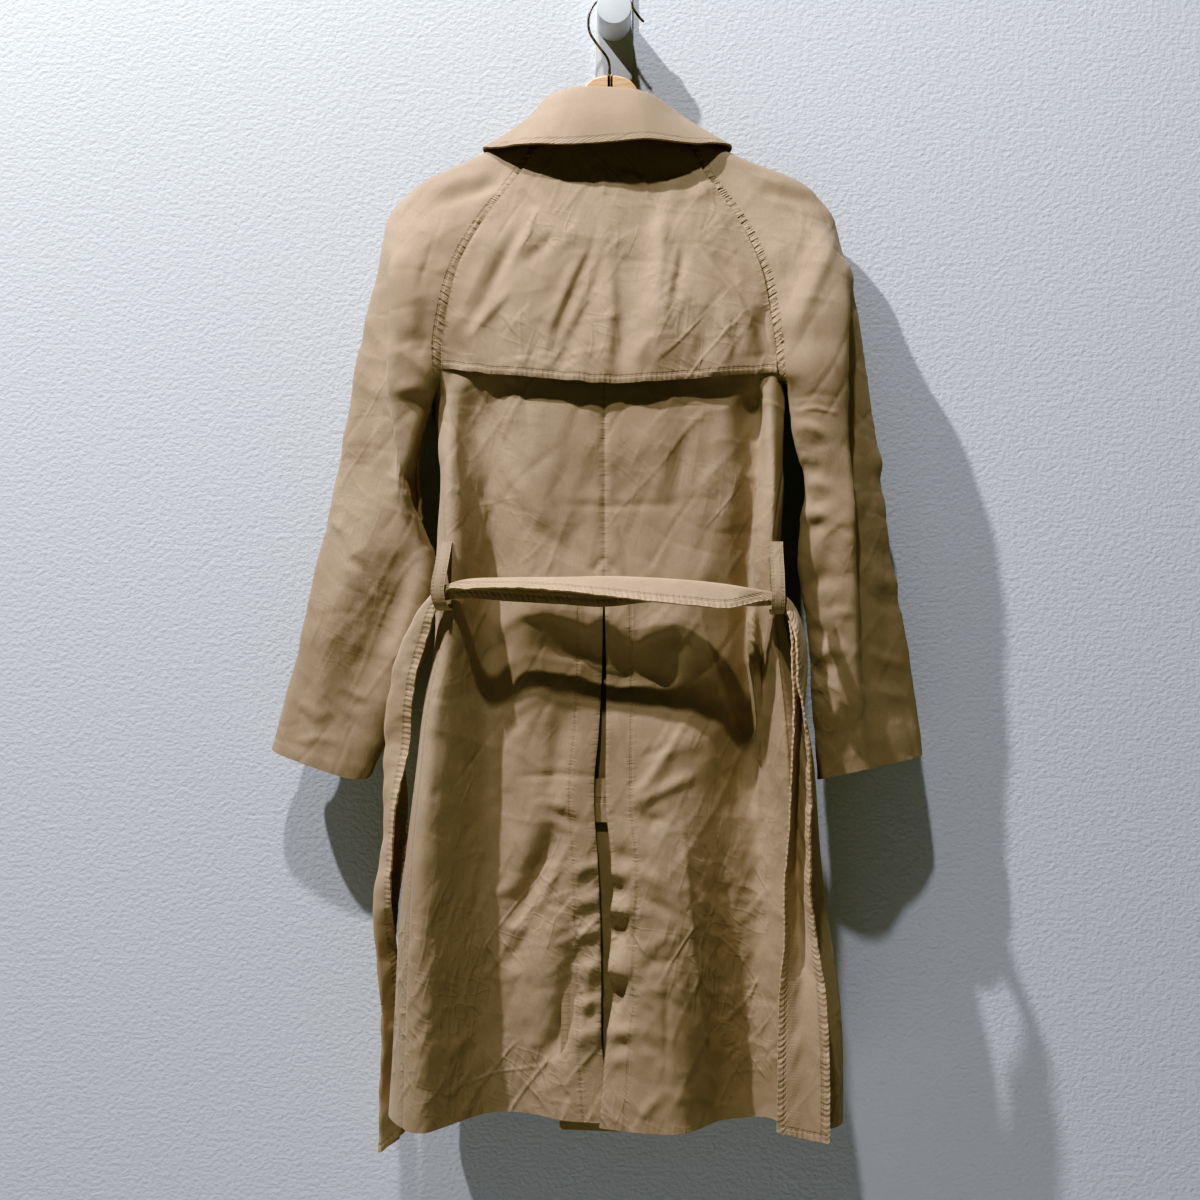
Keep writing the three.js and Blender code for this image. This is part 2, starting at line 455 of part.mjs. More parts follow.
// upper ring, from the left front edge round the back to the right front edge
const upper = new Ring([
  ...[...frontNames].reverse().map((n) => column(torsoLeft, n)),
  ...[...sleeveFront].reverse().map((n) => column(sleeveLeft, n)),
  ...[...sleeveBack].reverse().map((n) => column(sleeveLeft, n)),
  ...[...backNamesLeft].reverse().map((n) => (n === "cb" ? centreLeft : column(torsoLeft, n))),
  ...backNamesRight.slice(1).map((n) => column(torsoRight, n)),
  ...sleeveBack.map((n) => column(sleeveRight, n)),
  ...sleeveFront.map((n) => column(sleeveRight, n)),
  ...frontNames.map((n) => column(torsoRight, n)),
]);
const UPPER_CB = frontNames.length + sleeveFront.length + sleeveBack.length + backNamesLeft.length - 1;

// body below the armpits: a left and a right half that meet at the centre back seam
const openBelow = (z) => THREE.MathUtils.smoothstep(-z, -VENT_TOP, -VENT_TOP + 60);
const halfColumns = (tab, names, centre) => [...names, ...frontNames].map((n) => (n === "cb" ? centre : column(tab, n)));
const leftHalf = halfColumns(torsoLeft, backNamesLeft, centreLeft);
const rightHalf = halfColumns(torsoRight, backNamesRight, centreRight);
const bodyLeft = new Ring([...leftHalf].reverse(), false, null, (z) => ({ point: rightHalf[1](z), weight: 1 - openBelow(z) }));
const bodyRight = new Ring(rightHalf, false, (z) => ({ point: leftHalf[1](z), weight: 1 - openBelow(z) }), null);
const LOWER_CB = leftHalf.length - 1;

const tubeLeft = new Ring(["in", "rf", "f2", "f1", "ff", "ou", "tk", "cr", "e2", "e1", "rs"].map((n) => column(sleeveLeft, n)), true);
const tubeRight = new Ring(["in", "rs", "e1", "e2", "cr", "tk", "ou", "ff", "f1", "f2", "rf"].map((n) => column(sleeveRight, n)), true);

const toVector = ([x, d, z]) => new THREE.Vector3(x, -d, z);
// a point of the outer face with its outward normal
function sample(ring, u, z, low, high) {
  const du = 0.04;
  const dz = 1.5;
  const z0 = Math.max(z - dz, low);
  const z1 = Math.min(z + dz, high);
  const p = toVector(ring.at(u, z));
  const tu = toVector(ring.at(u + du, z)).sub(toVector(ring.at(u - du, z)));
  const tz = toVector(ring.at(u, z1)).sub(toVector(ring.at(u, z0)));
  return { p, n: tu.cross(tz).normalize() };
}
const upperPoint = (u, z) => sample(upper, u, z, ARMPIT - 0.01, NECK);

// ---------------------------------------------------------------- walls from grids of points
// grid[row][col] is { p, n } or null; rows run downwards, columns with the ring
function wall(grid, thickness, { centred = false, inset = SEAM / 2 } = {}) {
  const verts = [];
  const ids = grid.map((row) =>
    row.map((v) => {
      if (!v) return -1;
      if (v.id === undefined || verts[v.id] !== v) {
        v.id = verts.length;
        verts.push(v);
      }
      return v.id;
    })
  );
  const tris = [];
  for (let r = 0; r < ids.length - 1; r += 1) {
    for (let c = 0; c < ids[r].length - 1; c += 1) {
      const [a, b, e, d] = [ids[r][c], ids[r][c + 1], ids[r + 1][c + 1], ids[r + 1][c]];
      if (a < 0 || b < 0 || e < 0 || d < 0) continue;
      tris.push([a, d, e], [a, e, b]);
    }
  }
  // boundary edges are used once
  const used = new Map();
  for (const [a, b, c] of tris) for (const [i, j] of [[a, b], [b, c], [c, a]]) used.set(`${i},${j}`, [i, j]);
  const border = [...used.values()].filter(([i, j]) => !used.has(`${j},${i}`));
  const shift = verts.map(() => []);
  for (const [i, j] of border) {
    const along = verts[j].p.clone().sub(verts[i].p);
    for (const v of [i, j]) shift[v].push(verts[v].n.clone().cross(along).normalize());
  }
  const moved = verts.map((v, k) => {
    const p = v.p.clone();
    if (shift[k].length) {
      const sum = shift[k].reduce((s, m) => s.add(m), new THREE.Vector3());
      const len = sum.length();
      if (len > 0.2) p.addScaledVector(sum.normalize(), Math.min((inset * shift[k].length) / len, inset * 2));
    }
    return p;
  });
  const out = centred ? thickness / 2 : 0;
  const faces = moved.map((p, k) => p.clone().addScaledVector(verts[k].n, out));
  const backs = moved.map((p, k) => p.clone().addScaledVector(verts[k].n, out - thickness));
  const pos = [...faces, ...backs].flatMap((v) => [v.x, v.y, v.z]);
  const n = verts.length;
  const index = [];
  for (const [a, b, c] of tris) index.push(a, b, c, a + n, c + n, b + n);
  for (const [i, j] of border) index.push(i, i + n, j + n, i, j + n, j);
  const g = new THREE.BufferGeometry();
  g.setAttribute("position", new THREE.Float32BufferAttribute(pos, 3));
  g.setIndex(index);
  return g;
}

const coat = new THREE.Group();
function add(name, geometry, color, roughness = 0.85, metalness = 0) {
  const mesh = new THREE.Mesh(geometry, new THREE.MeshStandardMaterial({ color, roughness, metalness }));
  mesh.name = name;
  coat.add(mesh);
  return mesh;
}
const KHAKI = 0xb39b78;
const KHAKI_DARK = 0xa58d6b;
const WOOD = 0xd9b48a;
const WHITE = 0xe8eaec;
const STEEL = 0x55524e;

const spread = (a, b, n) => Array.from({ length: n + 1 }, (_, i) => a + ((b - a) * i) / n);
const upperLevels = torsoLeft.rows.map((r) => r.key).filter((z) => z > ARMPIT);
const lowerLevels = [-434, -456, -495.5, -545, -604, -653.5, -712.5, -781.5, -850.5, -929.5, -1008, -1077, HEM];
const sleeveLevels = [-434, ...sleeveLeft.rows.map((r) => r.key).filter((z) => z < ARMPIT)];

// ---------------------------------------------------------------- back and front panels
for (const side of ["left", "right"]) {
  const left = side === "left";
  const sign = left ? -1 : 1;
  const ring = left ? bodyLeft : bodyRight;
  const cb = left ? LOWER_CB : 0;
  const pb = (left ? backNamesLeft : backNamesRight).length - 1;
  const pf = pb + 1;
  const ce = pf + frontNames.length - 1;
  const seamKnots = sideSeam.rows.map((row) => ({ t: row.key, p: row.cells[left ? 0 : 1] }));
  const seamAt = (z) => follow(seamKnots, z)[0];
  const upAt = (q, z) => upperPoint(UPPER_CB + sign * q, z);
  // above the armpits the ring also holds the sleeve, so the front is counted from its own seam
  const upFront = (q, z) => upperPoint(UPPER_CB + sign * (q - pf + pb + 1 + sleeveBack.length + sleeveFront.length), z);
  const lowAt = (q, z) => sample(ring, cb + sign * q, z, HEM, ARMPIT);
  // the short run of cloth under the arm, straight between the raglan seams
  const crotch = (w) => {
    const a = upAt(pb, ARMPIT).p;
    const b = upFront(pf, ARMPIT).p;
    return { p: a.lerp(b, w), n: lowAt(pb + w, ARMPIT - 0.5).n };
  };
  const mainCount = left ? 5 : 7;
  const backMain = (end) => [0, 0.5, 1, 2, ...spread(3, end, mainCount)];
  const sideCount = 2;
  const orient = (row) => (left ? [...row].reverse() : row);

  const back = [];
  for (const z of upperLevels) back.push(orient([...backMain(pb).map((q) => upAt(q, z)), ...spread(0, 1, sideCount).slice(1).map(() => null)]));
  back.push(orient([...backMain(pb).map((q) => upAt(q, ARMPIT)), ...spread(0, 0.5, sideCount).slice(1).map(crotch)]));
  for (const z of lowerLevels) {
    const seam = seamAt(z);
    const turn = seam - THREE.MathUtils.lerp(0.5, 0.6, THREE.MathUtils.smoothstep(-z, -ARMPIT, 460));
    back.push(orient([...backMain(turn).map((q) => lowAt(q, z)), ...spread(turn, seam, sideCount).slice(1).map((q) => lowAt(q, z))]));
  }
  add(`back_${side}`, wall(back, CLOTH), KHAKI);

  const frontMain = [pf, pf + 1, pf + 2, pf + 3, ce];
  const front = [];
  for (const z of upperLevels) front.push(orient([null, null, null, ...frontMain.map((q) => upFront(q, z))]));
  front.push(orient([crotch(0.5), crotch(2 / 3), crotch(5 / 6), ...frontMain.map((q) => upFront(q, ARMPIT))]));
  for (const z of lowerLevels) {
    const seam = seamAt(z);
    front.push(orient([...spread(seam, pf, 3).slice(0, 3).map((q) => lowAt(q, z)), ...frontMain.map((q) => lowAt(q, z))]));
  }
  add(`front_${side}`, wall(front, CLOTH), KHAKI_DARK);

  // ---------------------------------------------------------------- raglan sleeve, back and front
  const tube = left ? tubeLeft : tubeRight;
  const tubeAt = (q, z) => sample(tube, left ? -q : q, z, CUFF, ARMPIT); // q counts from "in" over the back
  const ou = pb + sleeveBack.length; // in the upper ring
  const arm = (w) => {
    const a = upAt(pb, ARMPIT).p;
    const b = upFront(pf, ARMPIT).p;
    return { p: a.lerp(b, w), n: tubeAt(w < 0.5 ? 0.6 : -0.6, ARMPIT - 0.5).n };
  };
  const backSteps = [0, 0.5, 1, 1.5, 2, 2.5, 3, 4, 5]; // from the raglan seam to the overarm seam
  const sleeveBackGrid = [];
  for (const z of upperLevels) sleeveBackGrid.push(orient([null, ...backSteps.map((q) => upAt(pb + q, z))]));
  sleeveBackGrid.push(orient([arm(0.5), ...backSteps.map((q) => upAt(pb + q, ARMPIT))]));
  for (const z of sleeveLevels) sleeveBackGrid.push(orient([tubeAt(0, z), ...backSteps.map((q) => tubeAt(1 + q, z))]));
  add(`sleeve_back_${side}`, wall(sleeveBackGrid, CLOTH), KHAKI);

  const frontSteps = [0, 0.5, 1, 2, 3, 4]; // from the overarm seam to the front raglan seam
  const sleeveFrontGrid = [];
  for (const z of upperLevels) sleeveFrontGrid.push(orient([...frontSteps.map((q) => upAt(ou + q, z)), null]));
  sleeveFrontGrid.push(orient([...frontSteps.map((q) => upAt(ou + q, ARMPIT)), arm(0.5)]));
  for (const z of sleeveLevels) sleeveFrontGrid.push(orient([...frontSteps.map((q) => tubeAt(6 + q, z)), tubeAt(11, z)]));
  add(`sleeve_front_${side}`, wall(sleeveFrontGrid, CLOTH), KHAKI_DARK);
}

// ---------------------------------------------------------------- storm flap over the upper back
{
  const edgeKnots = flapEdge.rows.map((row) => ({ t: row.key, p: [row.cells[0][0], row.cells[1][0]] }));
  const leftEnd = backNamesLeft.length - 1;
  const rightEnd = backNamesRight.length - 1;
  const steps = [...spread(-leftEnd, -3, 5).slice(0, 5), -3, -2, -1, -0.5, 0, 0.5, 1, 2, 3, ...spread(3, rightEnd, 7).slice(1)];
  const levels = upperLevels.slice(0, -1);
  // the flap's own rows are the back's, down to its free edge
  const grid = [...levels, HEM].map((level) =>
    steps.map((q) => {
      const [zEdge, off] = follow(edgeKnots, upper.at(UPPER_CB + q, -385)[0]);
      const z = Math.max(level, zEdge);
      const w = (NECK - z) / (NECK - zEdge);
      const v = upperPoint(UPPER_CB + q, z);
      v.p.addScaledVector(v.n, CLOTH + SEAM + 0.1 + off * w ** 1.6);
      return v;
    })
  );
  add("storm_flap", wall(grid, CLOTH, { inset: 0.5 }), KHAKI);
}

// ---------------------------------------------------------------- collar
{
  const centre = new THREE.Vector3(-8, -38, 0);
  const inwards = (p, by) => {
    const v = centre.clone().sub(p).setZ(0).normalize();
    return p.clone().addScaledVector(v, by);
  };
  const sections = collar.rows.map((row, i) => {
    const [roll, mid, edge] = row.cells.map((c) => toVector(c));
    const neck = toVector(neckSeam.rows[i].cells[0]);
    const start = inwards(roll, 2.2).add(new THREE.Vector3(0, 0, -0.7));
    const top = inwards(roll, 2.6).add(new THREE.Vector3(0, 0, -3));
    return { fall: [start, roll, mid, edge], stand: [top, neck.clone().add(new THREE.Vector3(0, 0, SEAM))] };
  });
  const sheet = (key, downs, alongs) => {
    const lists = sections.map((s) => s[key].map((v) => [v.x, v.y, v.z]));
    const pick = (i, j) => {
      const ii = Math.min(Math.max(i, 0), lists.length - 1);
      const at = (jj) => {
        const m = lists[ii].length;
        if (jj < 0) return lists[ii][0].map((v, k) => 2 * v - lists[ii][1][k]);
        if (jj >= m) return lists[ii][m - 1].map((v, k) => 2 * v - lists[ii][m - 2][k]);
        return lists[ii][jj];
      };
      return at(j);
    };
    const line = (i, w) => {
      const j = Math.min(Math.floor(w), lists[0].length - 2);
      return across(pick(i, j - 1), pick(i, j), pick(i, j + 1), pick(i, j + 2), w - j);
    };
    const at = (u, w) => {
      const i = Math.min(Math.max(Math.floor(u), 0), lists.length - 2);
      const ext = (k) => {
        if (k < 0) return line(0, w).map((v, m) => 2 * v - line(1, w)[m]);
        if (k >= lists.length) return line(lists.length - 1, w).map((v, m) => 2 * v - line(lists.length - 2, w)[m]);
        return line(k, w);
      };
      return new THREE.Vector3(...across(ext(i - 1), ext(i), ext(i + 1), ext(i + 2), u - i));
    };
    return downs.map((w) =>
      alongs.map((u) => {
        const tu = at(Math.min(u + 0.03, lists.length - 1), w).sub(at(Math.max(u - 0.03, 0), w));
        const tw = at(u, Math.max(w - 0.03, 0)).sub(at(u, Math.min(w + 0.03, lists[0].length - 1)));
        return { p: at(u, w), n: tu.cross(tw).normalize() };
      })
    );
  };
  const alongs = spread(0, collar.rows.length - 1, 28);
  add("collar_fall", wall(sheet("fall", [0, 0.5, 1, 1.5, 2, 2.5, 3], alongs), CLOTH), KHAKI);
  add("collar_stand", wall(sheet("stand", [0, 1], alongs), CLOTH), KHAKI_DARK);
}

// ---------------------------------------------------------------- strips of cloth along a path
// rows: lists of points across the strip; the strip's middle surface runs through them
function strip(rows, thickness, alongs, acrosses) {
  const lists = rows;
  const m = lists[0].length;
  const crossPoint = (i, w) => {
    const row = lists[i];
    const j = Math.min(Math.floor(w), m - 2);
    const get = (k) => {
      if (k < 0) return row[0].map((v, a) => 2 * v - row[1][a]);
      if (k >= m) return row[m - 1].map((v, a) => 2 * v - row[m - 2][a]);
      return row[k];
    };
    return across(get(j - 1), get(j), get(j + 1), get(j + 2), w - j);
  };
  const at = (u, w) => {
    const n = lists.length;
    const i = Math.min(Math.max(Math.floor(u), 0), n - 2);
    const get = (k) => {
      if (k < 0) return crossPoint(0, w).map((v, a) => 2 * v - crossPoint(1, w)[a]);
      if (k >= n) return crossPoint(n - 1, w).map((v, a) => 2 * v - crossPoint(n - 2, w)[a]);
      return crossPoint(k, w);
    };
    return toVector(across(get(i - 1), get(i), get(i + 1), get(i + 2), u - i));
  };
  const grid = alongs.map((u) =>
    acrosses.map((w) => {
      const tu = at(Math.min(u + 0.05, lists.length - 1), w).sub(at(Math.max(u - 0.05, 0), w));
      const tw = at(u, Math.min(w + 0.05, m - 1)).sub(at(u, Math.max(w - 0.05, 0)));
      return { p: at(u, w), n: tu.cross(tw).normalize() };
    })
  );
  return wall(grid, thickness, { centred: true, inset: 0 });
}

// ---------------------------------------------------------------- belt and its loops
{
  const rows = belt.rows.map((row) => [row.cells[1], row.cells[0], row.cells[2]]); // edge, fold, edge
  add("belt", strip(rows, BELT_CLOTH, spread(0, rows.length - 1, rows.length - 1), [0, 0.55, 0.9, 1.1, 1.45, 2]), KHAKI);
  for (const [name, tab] of [["belt_loop_left", loopLeft], ["belt_loop_right", loopRight]]) {
    const line = tab.rows.map((row) => {
      const [x, d, z] = row.cells[0];
      return [[x - LOOP.width / 2, d, z], [x + LOOP.width / 2, d, z]];
    });
    add(name, strip(line, LOOP.cloth, spread(0, line.length - 1, 14), [0, 1]), KHAKI);
  }
}

// ---------------------------------------------------------------- cloth behind the vent
for (const [name, tab] of [["vent_underlay", underlay], ["vent_tab", tab_()]]) {
  const rows = tab.rows.map((row) => row.cells.map(([x, d]) => [x, d, row.key]));
  add(name, strip(rows, CLOTH, spread(0, rows.length - 1, rows.length - 1), [0, 0.5, 1]), KHAKI_DARK);
}
function tab_() {
  return tab;
}

// ---------------------------------------------------------------- hanger
{
  const outline = (sign) => {
    const top = armTop.rows.map((r) => [r.cells[0][0], r.cells[1][0]]);
    const deepKnots = armDepth.rows.map((r) => ({ t: r.key, p: [r.cells[0][0]] }));
    const low = [...top].reverse().map(([x, z]) => [x * 0.985, z - follow(deepKnots, x)[0]]);
    const pts = [...top, ...low].map(([x, z]) => [HANGER.joint + sign * (x + SEAM / 2), z]);
    const shape = new THREE.Shape();
    pts.forEach(([x, z], i) => (i ? shape.lineTo(x, z) : shape.moveTo(x, z)));
    shape.closePath();
    return shape;
  };
  const bevel = 1.6;
  const hole = new THREE.CylinderGeometry(HANGER.hole, HANGER.hole, HANGER.holeDepth * 2, 12);
  hole.rotateX(Math.PI / 2);
  hole.translate(hookLine.rows[0].cells[0][0], -(HANGER.front + HANGER.back) / 2, armTop.rows[0].cells[1][0]);
  for (const [name, sign] of [["hanger_arm_left", -1], ["hanger_arm_right", 1]]) {
    const deep = HANGER.back - HANGER.front;
    const g = new THREE.ExtrudeGeometry(outline(sign), {
      depth: deep - 2 * bevel, bevelEnabled: true, bevelThickness: bevel, bevelSize: bevel, bevelOffset: -bevel, bevelSegments: 2, curveSegments: 1, steps: 1,
    });
    g.rotateX(Math.PI / 2); // extruded along -y
    g.translate(0, -HANGER.front - bevel, 0);
    add(name, cut(g, hole), WOOD, 0.5);
  }
}
function solid(geometry) {
  const g = geometry.clone();
  for (const key of Object.keys(g.attributes)) if (key !== "position") g.deleteAttribute(key);
  const m = mergeVertices(g, 1e-4);
  return new wasm.Manifold(new wasm.Mesh({ numProp: 3, vertProperties: new Float32Array(m.attributes.position.array), triVerts: new Uint32Array(m.index.array) }));
}
function cut(body, tool) {
  const mesh = solid(body).subtract(solid(tool)).getMesh();
  const g = new THREE.BufferGeometry();
  g.setAttribute("position", new THREE.BufferAttribute(new Float32Array(mesh.vertProperties), 3));
  g.setIndex(new THREE.BufferAttribute(new Uint32Array(mesh.triVerts), 1));
  return g;
}
{
  const mid = -(HANGER.front + HANGER.back) / 2;
  const curve = new THREE.CatmullRomCurve3(hookLine.rows.map((r) => new THREE.Vector3(r.cells[0][0], mid, r.cells[1][0])), false, "centripetal");
  const round = new THREE.Shape();
  for (let i = 0; i < 8; i += 1) {
    const a = (i / 8) * Math.PI * 2;
    const [x, y] = [Math.cos(a) * HANGER.wire, Math.sin(a) * HANGER.wire];
    if (i) round.lineTo(x, y);
    else round.moveTo(x, y);
  }
  round.closePath();
  add("hanger_hook", new THREE.ExtrudeGeometry(round, { extrudePath: curve, steps: 40, bevelEnabled: false }), STEEL, 0.4, 0.9);
}

// ---------------------------------------------------------------- wall hook
{
  const { width, thick, top, bottom, corner } = PLATE;
  const w = width / 2;
  const plate = new THREE.Shape();
  plate.moveTo(-w + corner, bottom);
  plate.lineTo(w - corner, bottom);
  plate.absarc(w - corner, bottom + corner, corner, -Math.PI / 2, 0, false);
  plate.lineTo(w, top - corner);
  plate.absarc(w - corner, top - corner, corner, 0, Math.PI / 2, false);
  plate.lineTo(-w + corner, top);
  plate.absarc(-w + corner, top - corner, corner, Math.PI / 2, Math.PI, false);
  plate.lineTo(-w, bottom + corner);
  plate.absarc(-w + corner, bottom + corner, corner, Math.PI, Math.PI * 1.5, false);
  const g = new THREE.ExtrudeGeometry(plate, { depth: thick, bevelEnabled: false, curveSegments: 4 });
  g.rotateX(Math.PI / 2); // the plate's back is the wall plane
  add("wall_plate", g, WHITE, 0.4);

  const turned = (from, to, edge) => {
    const profile = [new THREE.Vector2(0, from), new THREE.Vector2(PEG.radius - edge, from), new THREE.Vector2(PEG.radius, from + edge), new THREE.Vector2(PEG.radius, to - edge), new THREE.Vector2(PEG.radius - edge, to), new THREE.Vector2(0, to)];
    const lathe = new THREE.LatheGeometry(profile, 32);
    lathe.rotateX(Math.PI); // the lathe's axis now runs out from the wall
    return lathe;
  };
  const peg = turned(PLATE.thick + SEAM, PEG.out, 0.3);
  const cap = turned(PEG.out + SEAM, PEG.out + SEAM + PEG.capThick, PEG.edge);
  add("wall_peg", peg, WHITE, 0.35);
  add("peg_cap", cap, WHITE, 0.35);
}

export default coat;
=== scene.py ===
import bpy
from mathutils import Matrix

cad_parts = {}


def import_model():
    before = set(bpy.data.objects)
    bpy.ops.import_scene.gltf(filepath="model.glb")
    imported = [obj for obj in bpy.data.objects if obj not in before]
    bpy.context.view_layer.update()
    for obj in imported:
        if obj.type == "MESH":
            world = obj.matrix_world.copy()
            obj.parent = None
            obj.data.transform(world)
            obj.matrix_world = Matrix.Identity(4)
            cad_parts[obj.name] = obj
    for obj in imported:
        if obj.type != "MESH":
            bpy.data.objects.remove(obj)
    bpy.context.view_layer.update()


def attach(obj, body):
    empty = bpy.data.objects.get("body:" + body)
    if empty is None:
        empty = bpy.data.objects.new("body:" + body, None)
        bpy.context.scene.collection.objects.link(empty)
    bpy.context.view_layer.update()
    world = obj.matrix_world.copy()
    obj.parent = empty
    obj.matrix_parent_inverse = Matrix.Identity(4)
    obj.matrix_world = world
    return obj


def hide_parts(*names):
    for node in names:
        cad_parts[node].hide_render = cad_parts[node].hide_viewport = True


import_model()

import math

import bmesh
import bpy
import numpy as np
from mathutils import Vector

# ------------------------------------------------------------------ named sizes, in millimetres
CLOTH = 1.5
BELT_CLOTH = 2.0
SEAM = 0.3
ARMPIT = -417.5
HEM = -1129.0
CUFF = -780.0
NECK = -122.0
VENT_TOP = -604.0
FINE = 2.7  # spacing of points on the cloth that shows
COARSE = 6.0  # and on the cloth that doesn't
CAM = dict(dist=1500.0, focal=1400.0, x=-14.68, z=-613.9)  # distance, focal length in pixels, centre of view

# ------------------------------------------------------------------ the cloth's section tables, x,d or x,d,lift
TORSO_LEFT = """
  z      cb        a1           a2             fl          rl           cr          si             pb          pf          fa            fb            fc             ce
  -122   -10.5,58  -21.5,57.5   -31.5,56.5,0.5 -40,55,1    -46,54,1.5   -50,53,2    -52.5,52.5,2.5 -54,52,3    -61,20,-3   -52,19,-7     -30,16.5,-19  -7.5,15.5,-31  13,15,-41
  -147.5 -10.5,61  -27.5,61     -43.5,60.5     -57,59.5    -66.5,58.5   -73,58      -76.5,57.5     -79,57      -81,21      -69.5,19.5,-2 -41.5,17,-8   -13.5,15.5,-16 13,15,-25
  -177   -10.5,66  -32.5,66     -52.5,65.5     -70,64.5    -82,63.5     -90,63      -94.5,62.5     -98,62      -100,22     -86,20.5      -52.5,17.5,-2 -18.5,15.5,-6  13,15,-12
  -210   -10.5,74  -38,74       -63.5,73.5     -86,72.5    -101.5,71.5  -111.5,71   -117.5,70.5    -121.5,70   -123.5,20   -107,19       -66,16.5      -25,15.5       13,15
  -244.5 -10.5,82  -43.5,82.5   -74,82         -100.5,81.5 -119,80.5    -131,80     -138.5,79.5    -143,79     -145,19     -126,18       -78.5,16.5    -31,15.5       13,15
  -280.5 -10.5,89  -47.5,89.5   -81.5,89.5     -111.5,89   -132,88      -145.5,87.5 -153.5,87.5    -159,87     -161,18     -140,17.5     -88,16        -35.5,15       13,15
  -318   -10.5,95  -50,96       -86,96         -117.5,95.5 -139.5,95    -154,94.5   -162.5,94      -168,94     -170,18     -148,17.5     -93,16        -38,15         13,15
  -357.5 -10.5,99  -51,100      -90,100        -127.5,99.5 -149,99      -161,98.5   -168.5,98      -173,98     -175,20     -152.5,19     -96,16.5      -39.5,15.5     13,15
  -389   -10.5,101 -53,101      -94,100        -138.5,98   -155,97      -164.5,96.5 -170.5,96.5    -174.5,96   -176.5,27   -154,24.5     -97,19        -40,16         13,15
  -417.5 -10.5,102 -54.5,103    -99.5,101      -139,90     -158,99      -166,99     -173,90,1      -182.5,78,3 -187.5,44,3 -180,27       -131,17       -57,16         13,15
  -456   -10.5,105 -53.5,105    -96.5,103      -132,89     -158,108     -167,107    -177.5,92      -176.5,76   -179,46     -170.5,26     -126,16       -57,15         13,15
  -495.5 -10.5,106 -51.5,106    -93.5,105      -126,90     -154,116     -165,117    -174.5,97      -171.5,76   -173.5,46   -166.5,25     -123,16       -57,15         13,15
  -545   -10.5,111 -49.5,111    -89.5,109      -122.5,92   -151,123.5   -164,126    -177.5,101     -168.5,76   -170.5,46   -162.5,24     -120.5,16     -57,15         13,15
  -604   -10.5,121 -47.5,121    -85,117        -120.5,94   -154,132     -163,132    -180.5,103     -167.5,76   -168.5,46   -160,24       -120.5,16     -57,15         13,15
  -653.5 -         -46.5,118    -84,114        -122.5,98   -156,133     -165,134    -180.5,104     -168.5,76   -169.5,46   -161,24       -120.5,16     -57,17         13,16
  -712.5 -         -46.5,113    -83,110        -123.5,100  -162,134     -174.5,137  -192,105       -177.5,76   -177.5,46   -167.5,24     -123,16       -57,18         13,17
  -781.5 -         -46.5,116    -83,110        -124,99     -169.5,137   -182,139    -200,105       -187.5,76   -187,46     -175,24       -125,16       -57,20         13,18
  -850.5 -         -46.5,118    -83,109        -124,98     -177,140     -189.5,140  -206.5,105     -193.5,76   -193.5,46   -180,24       -127,16       -57,21         13,19
  -929.5 -         -47.5,118    -84.5,107      -126,97     -180.5,143   -193,142    -213,106       -199.5,78   -199.5,46   -185.5,24     -129,16       -57,23         13,20
  -1008  -         -48.5,116    -86.5,104      -127,96     -182,146     -196,144    -217.5,107     -203.5,78   -203.5,46   -189.5,24     -131.5,16     -57,24         13,21
  -1077  -         -48.5,114    -87.5,100      -128,95     -183.5,149   -197.5,146  -221.5,108     -205.5,78   -204.5,46   -192,24       -131.5,16     -57,24.5       13,22
  -1129  -         -48.5,113,-1 -89,97,0.5     -128,94     -184.5,151,1 -198,148,1  -224.5,109,4.5 -206.5,80,3 -206,46,1   -193,24,-1    -131.5,16,-1  -57,25,-1      13,22,-1
"""
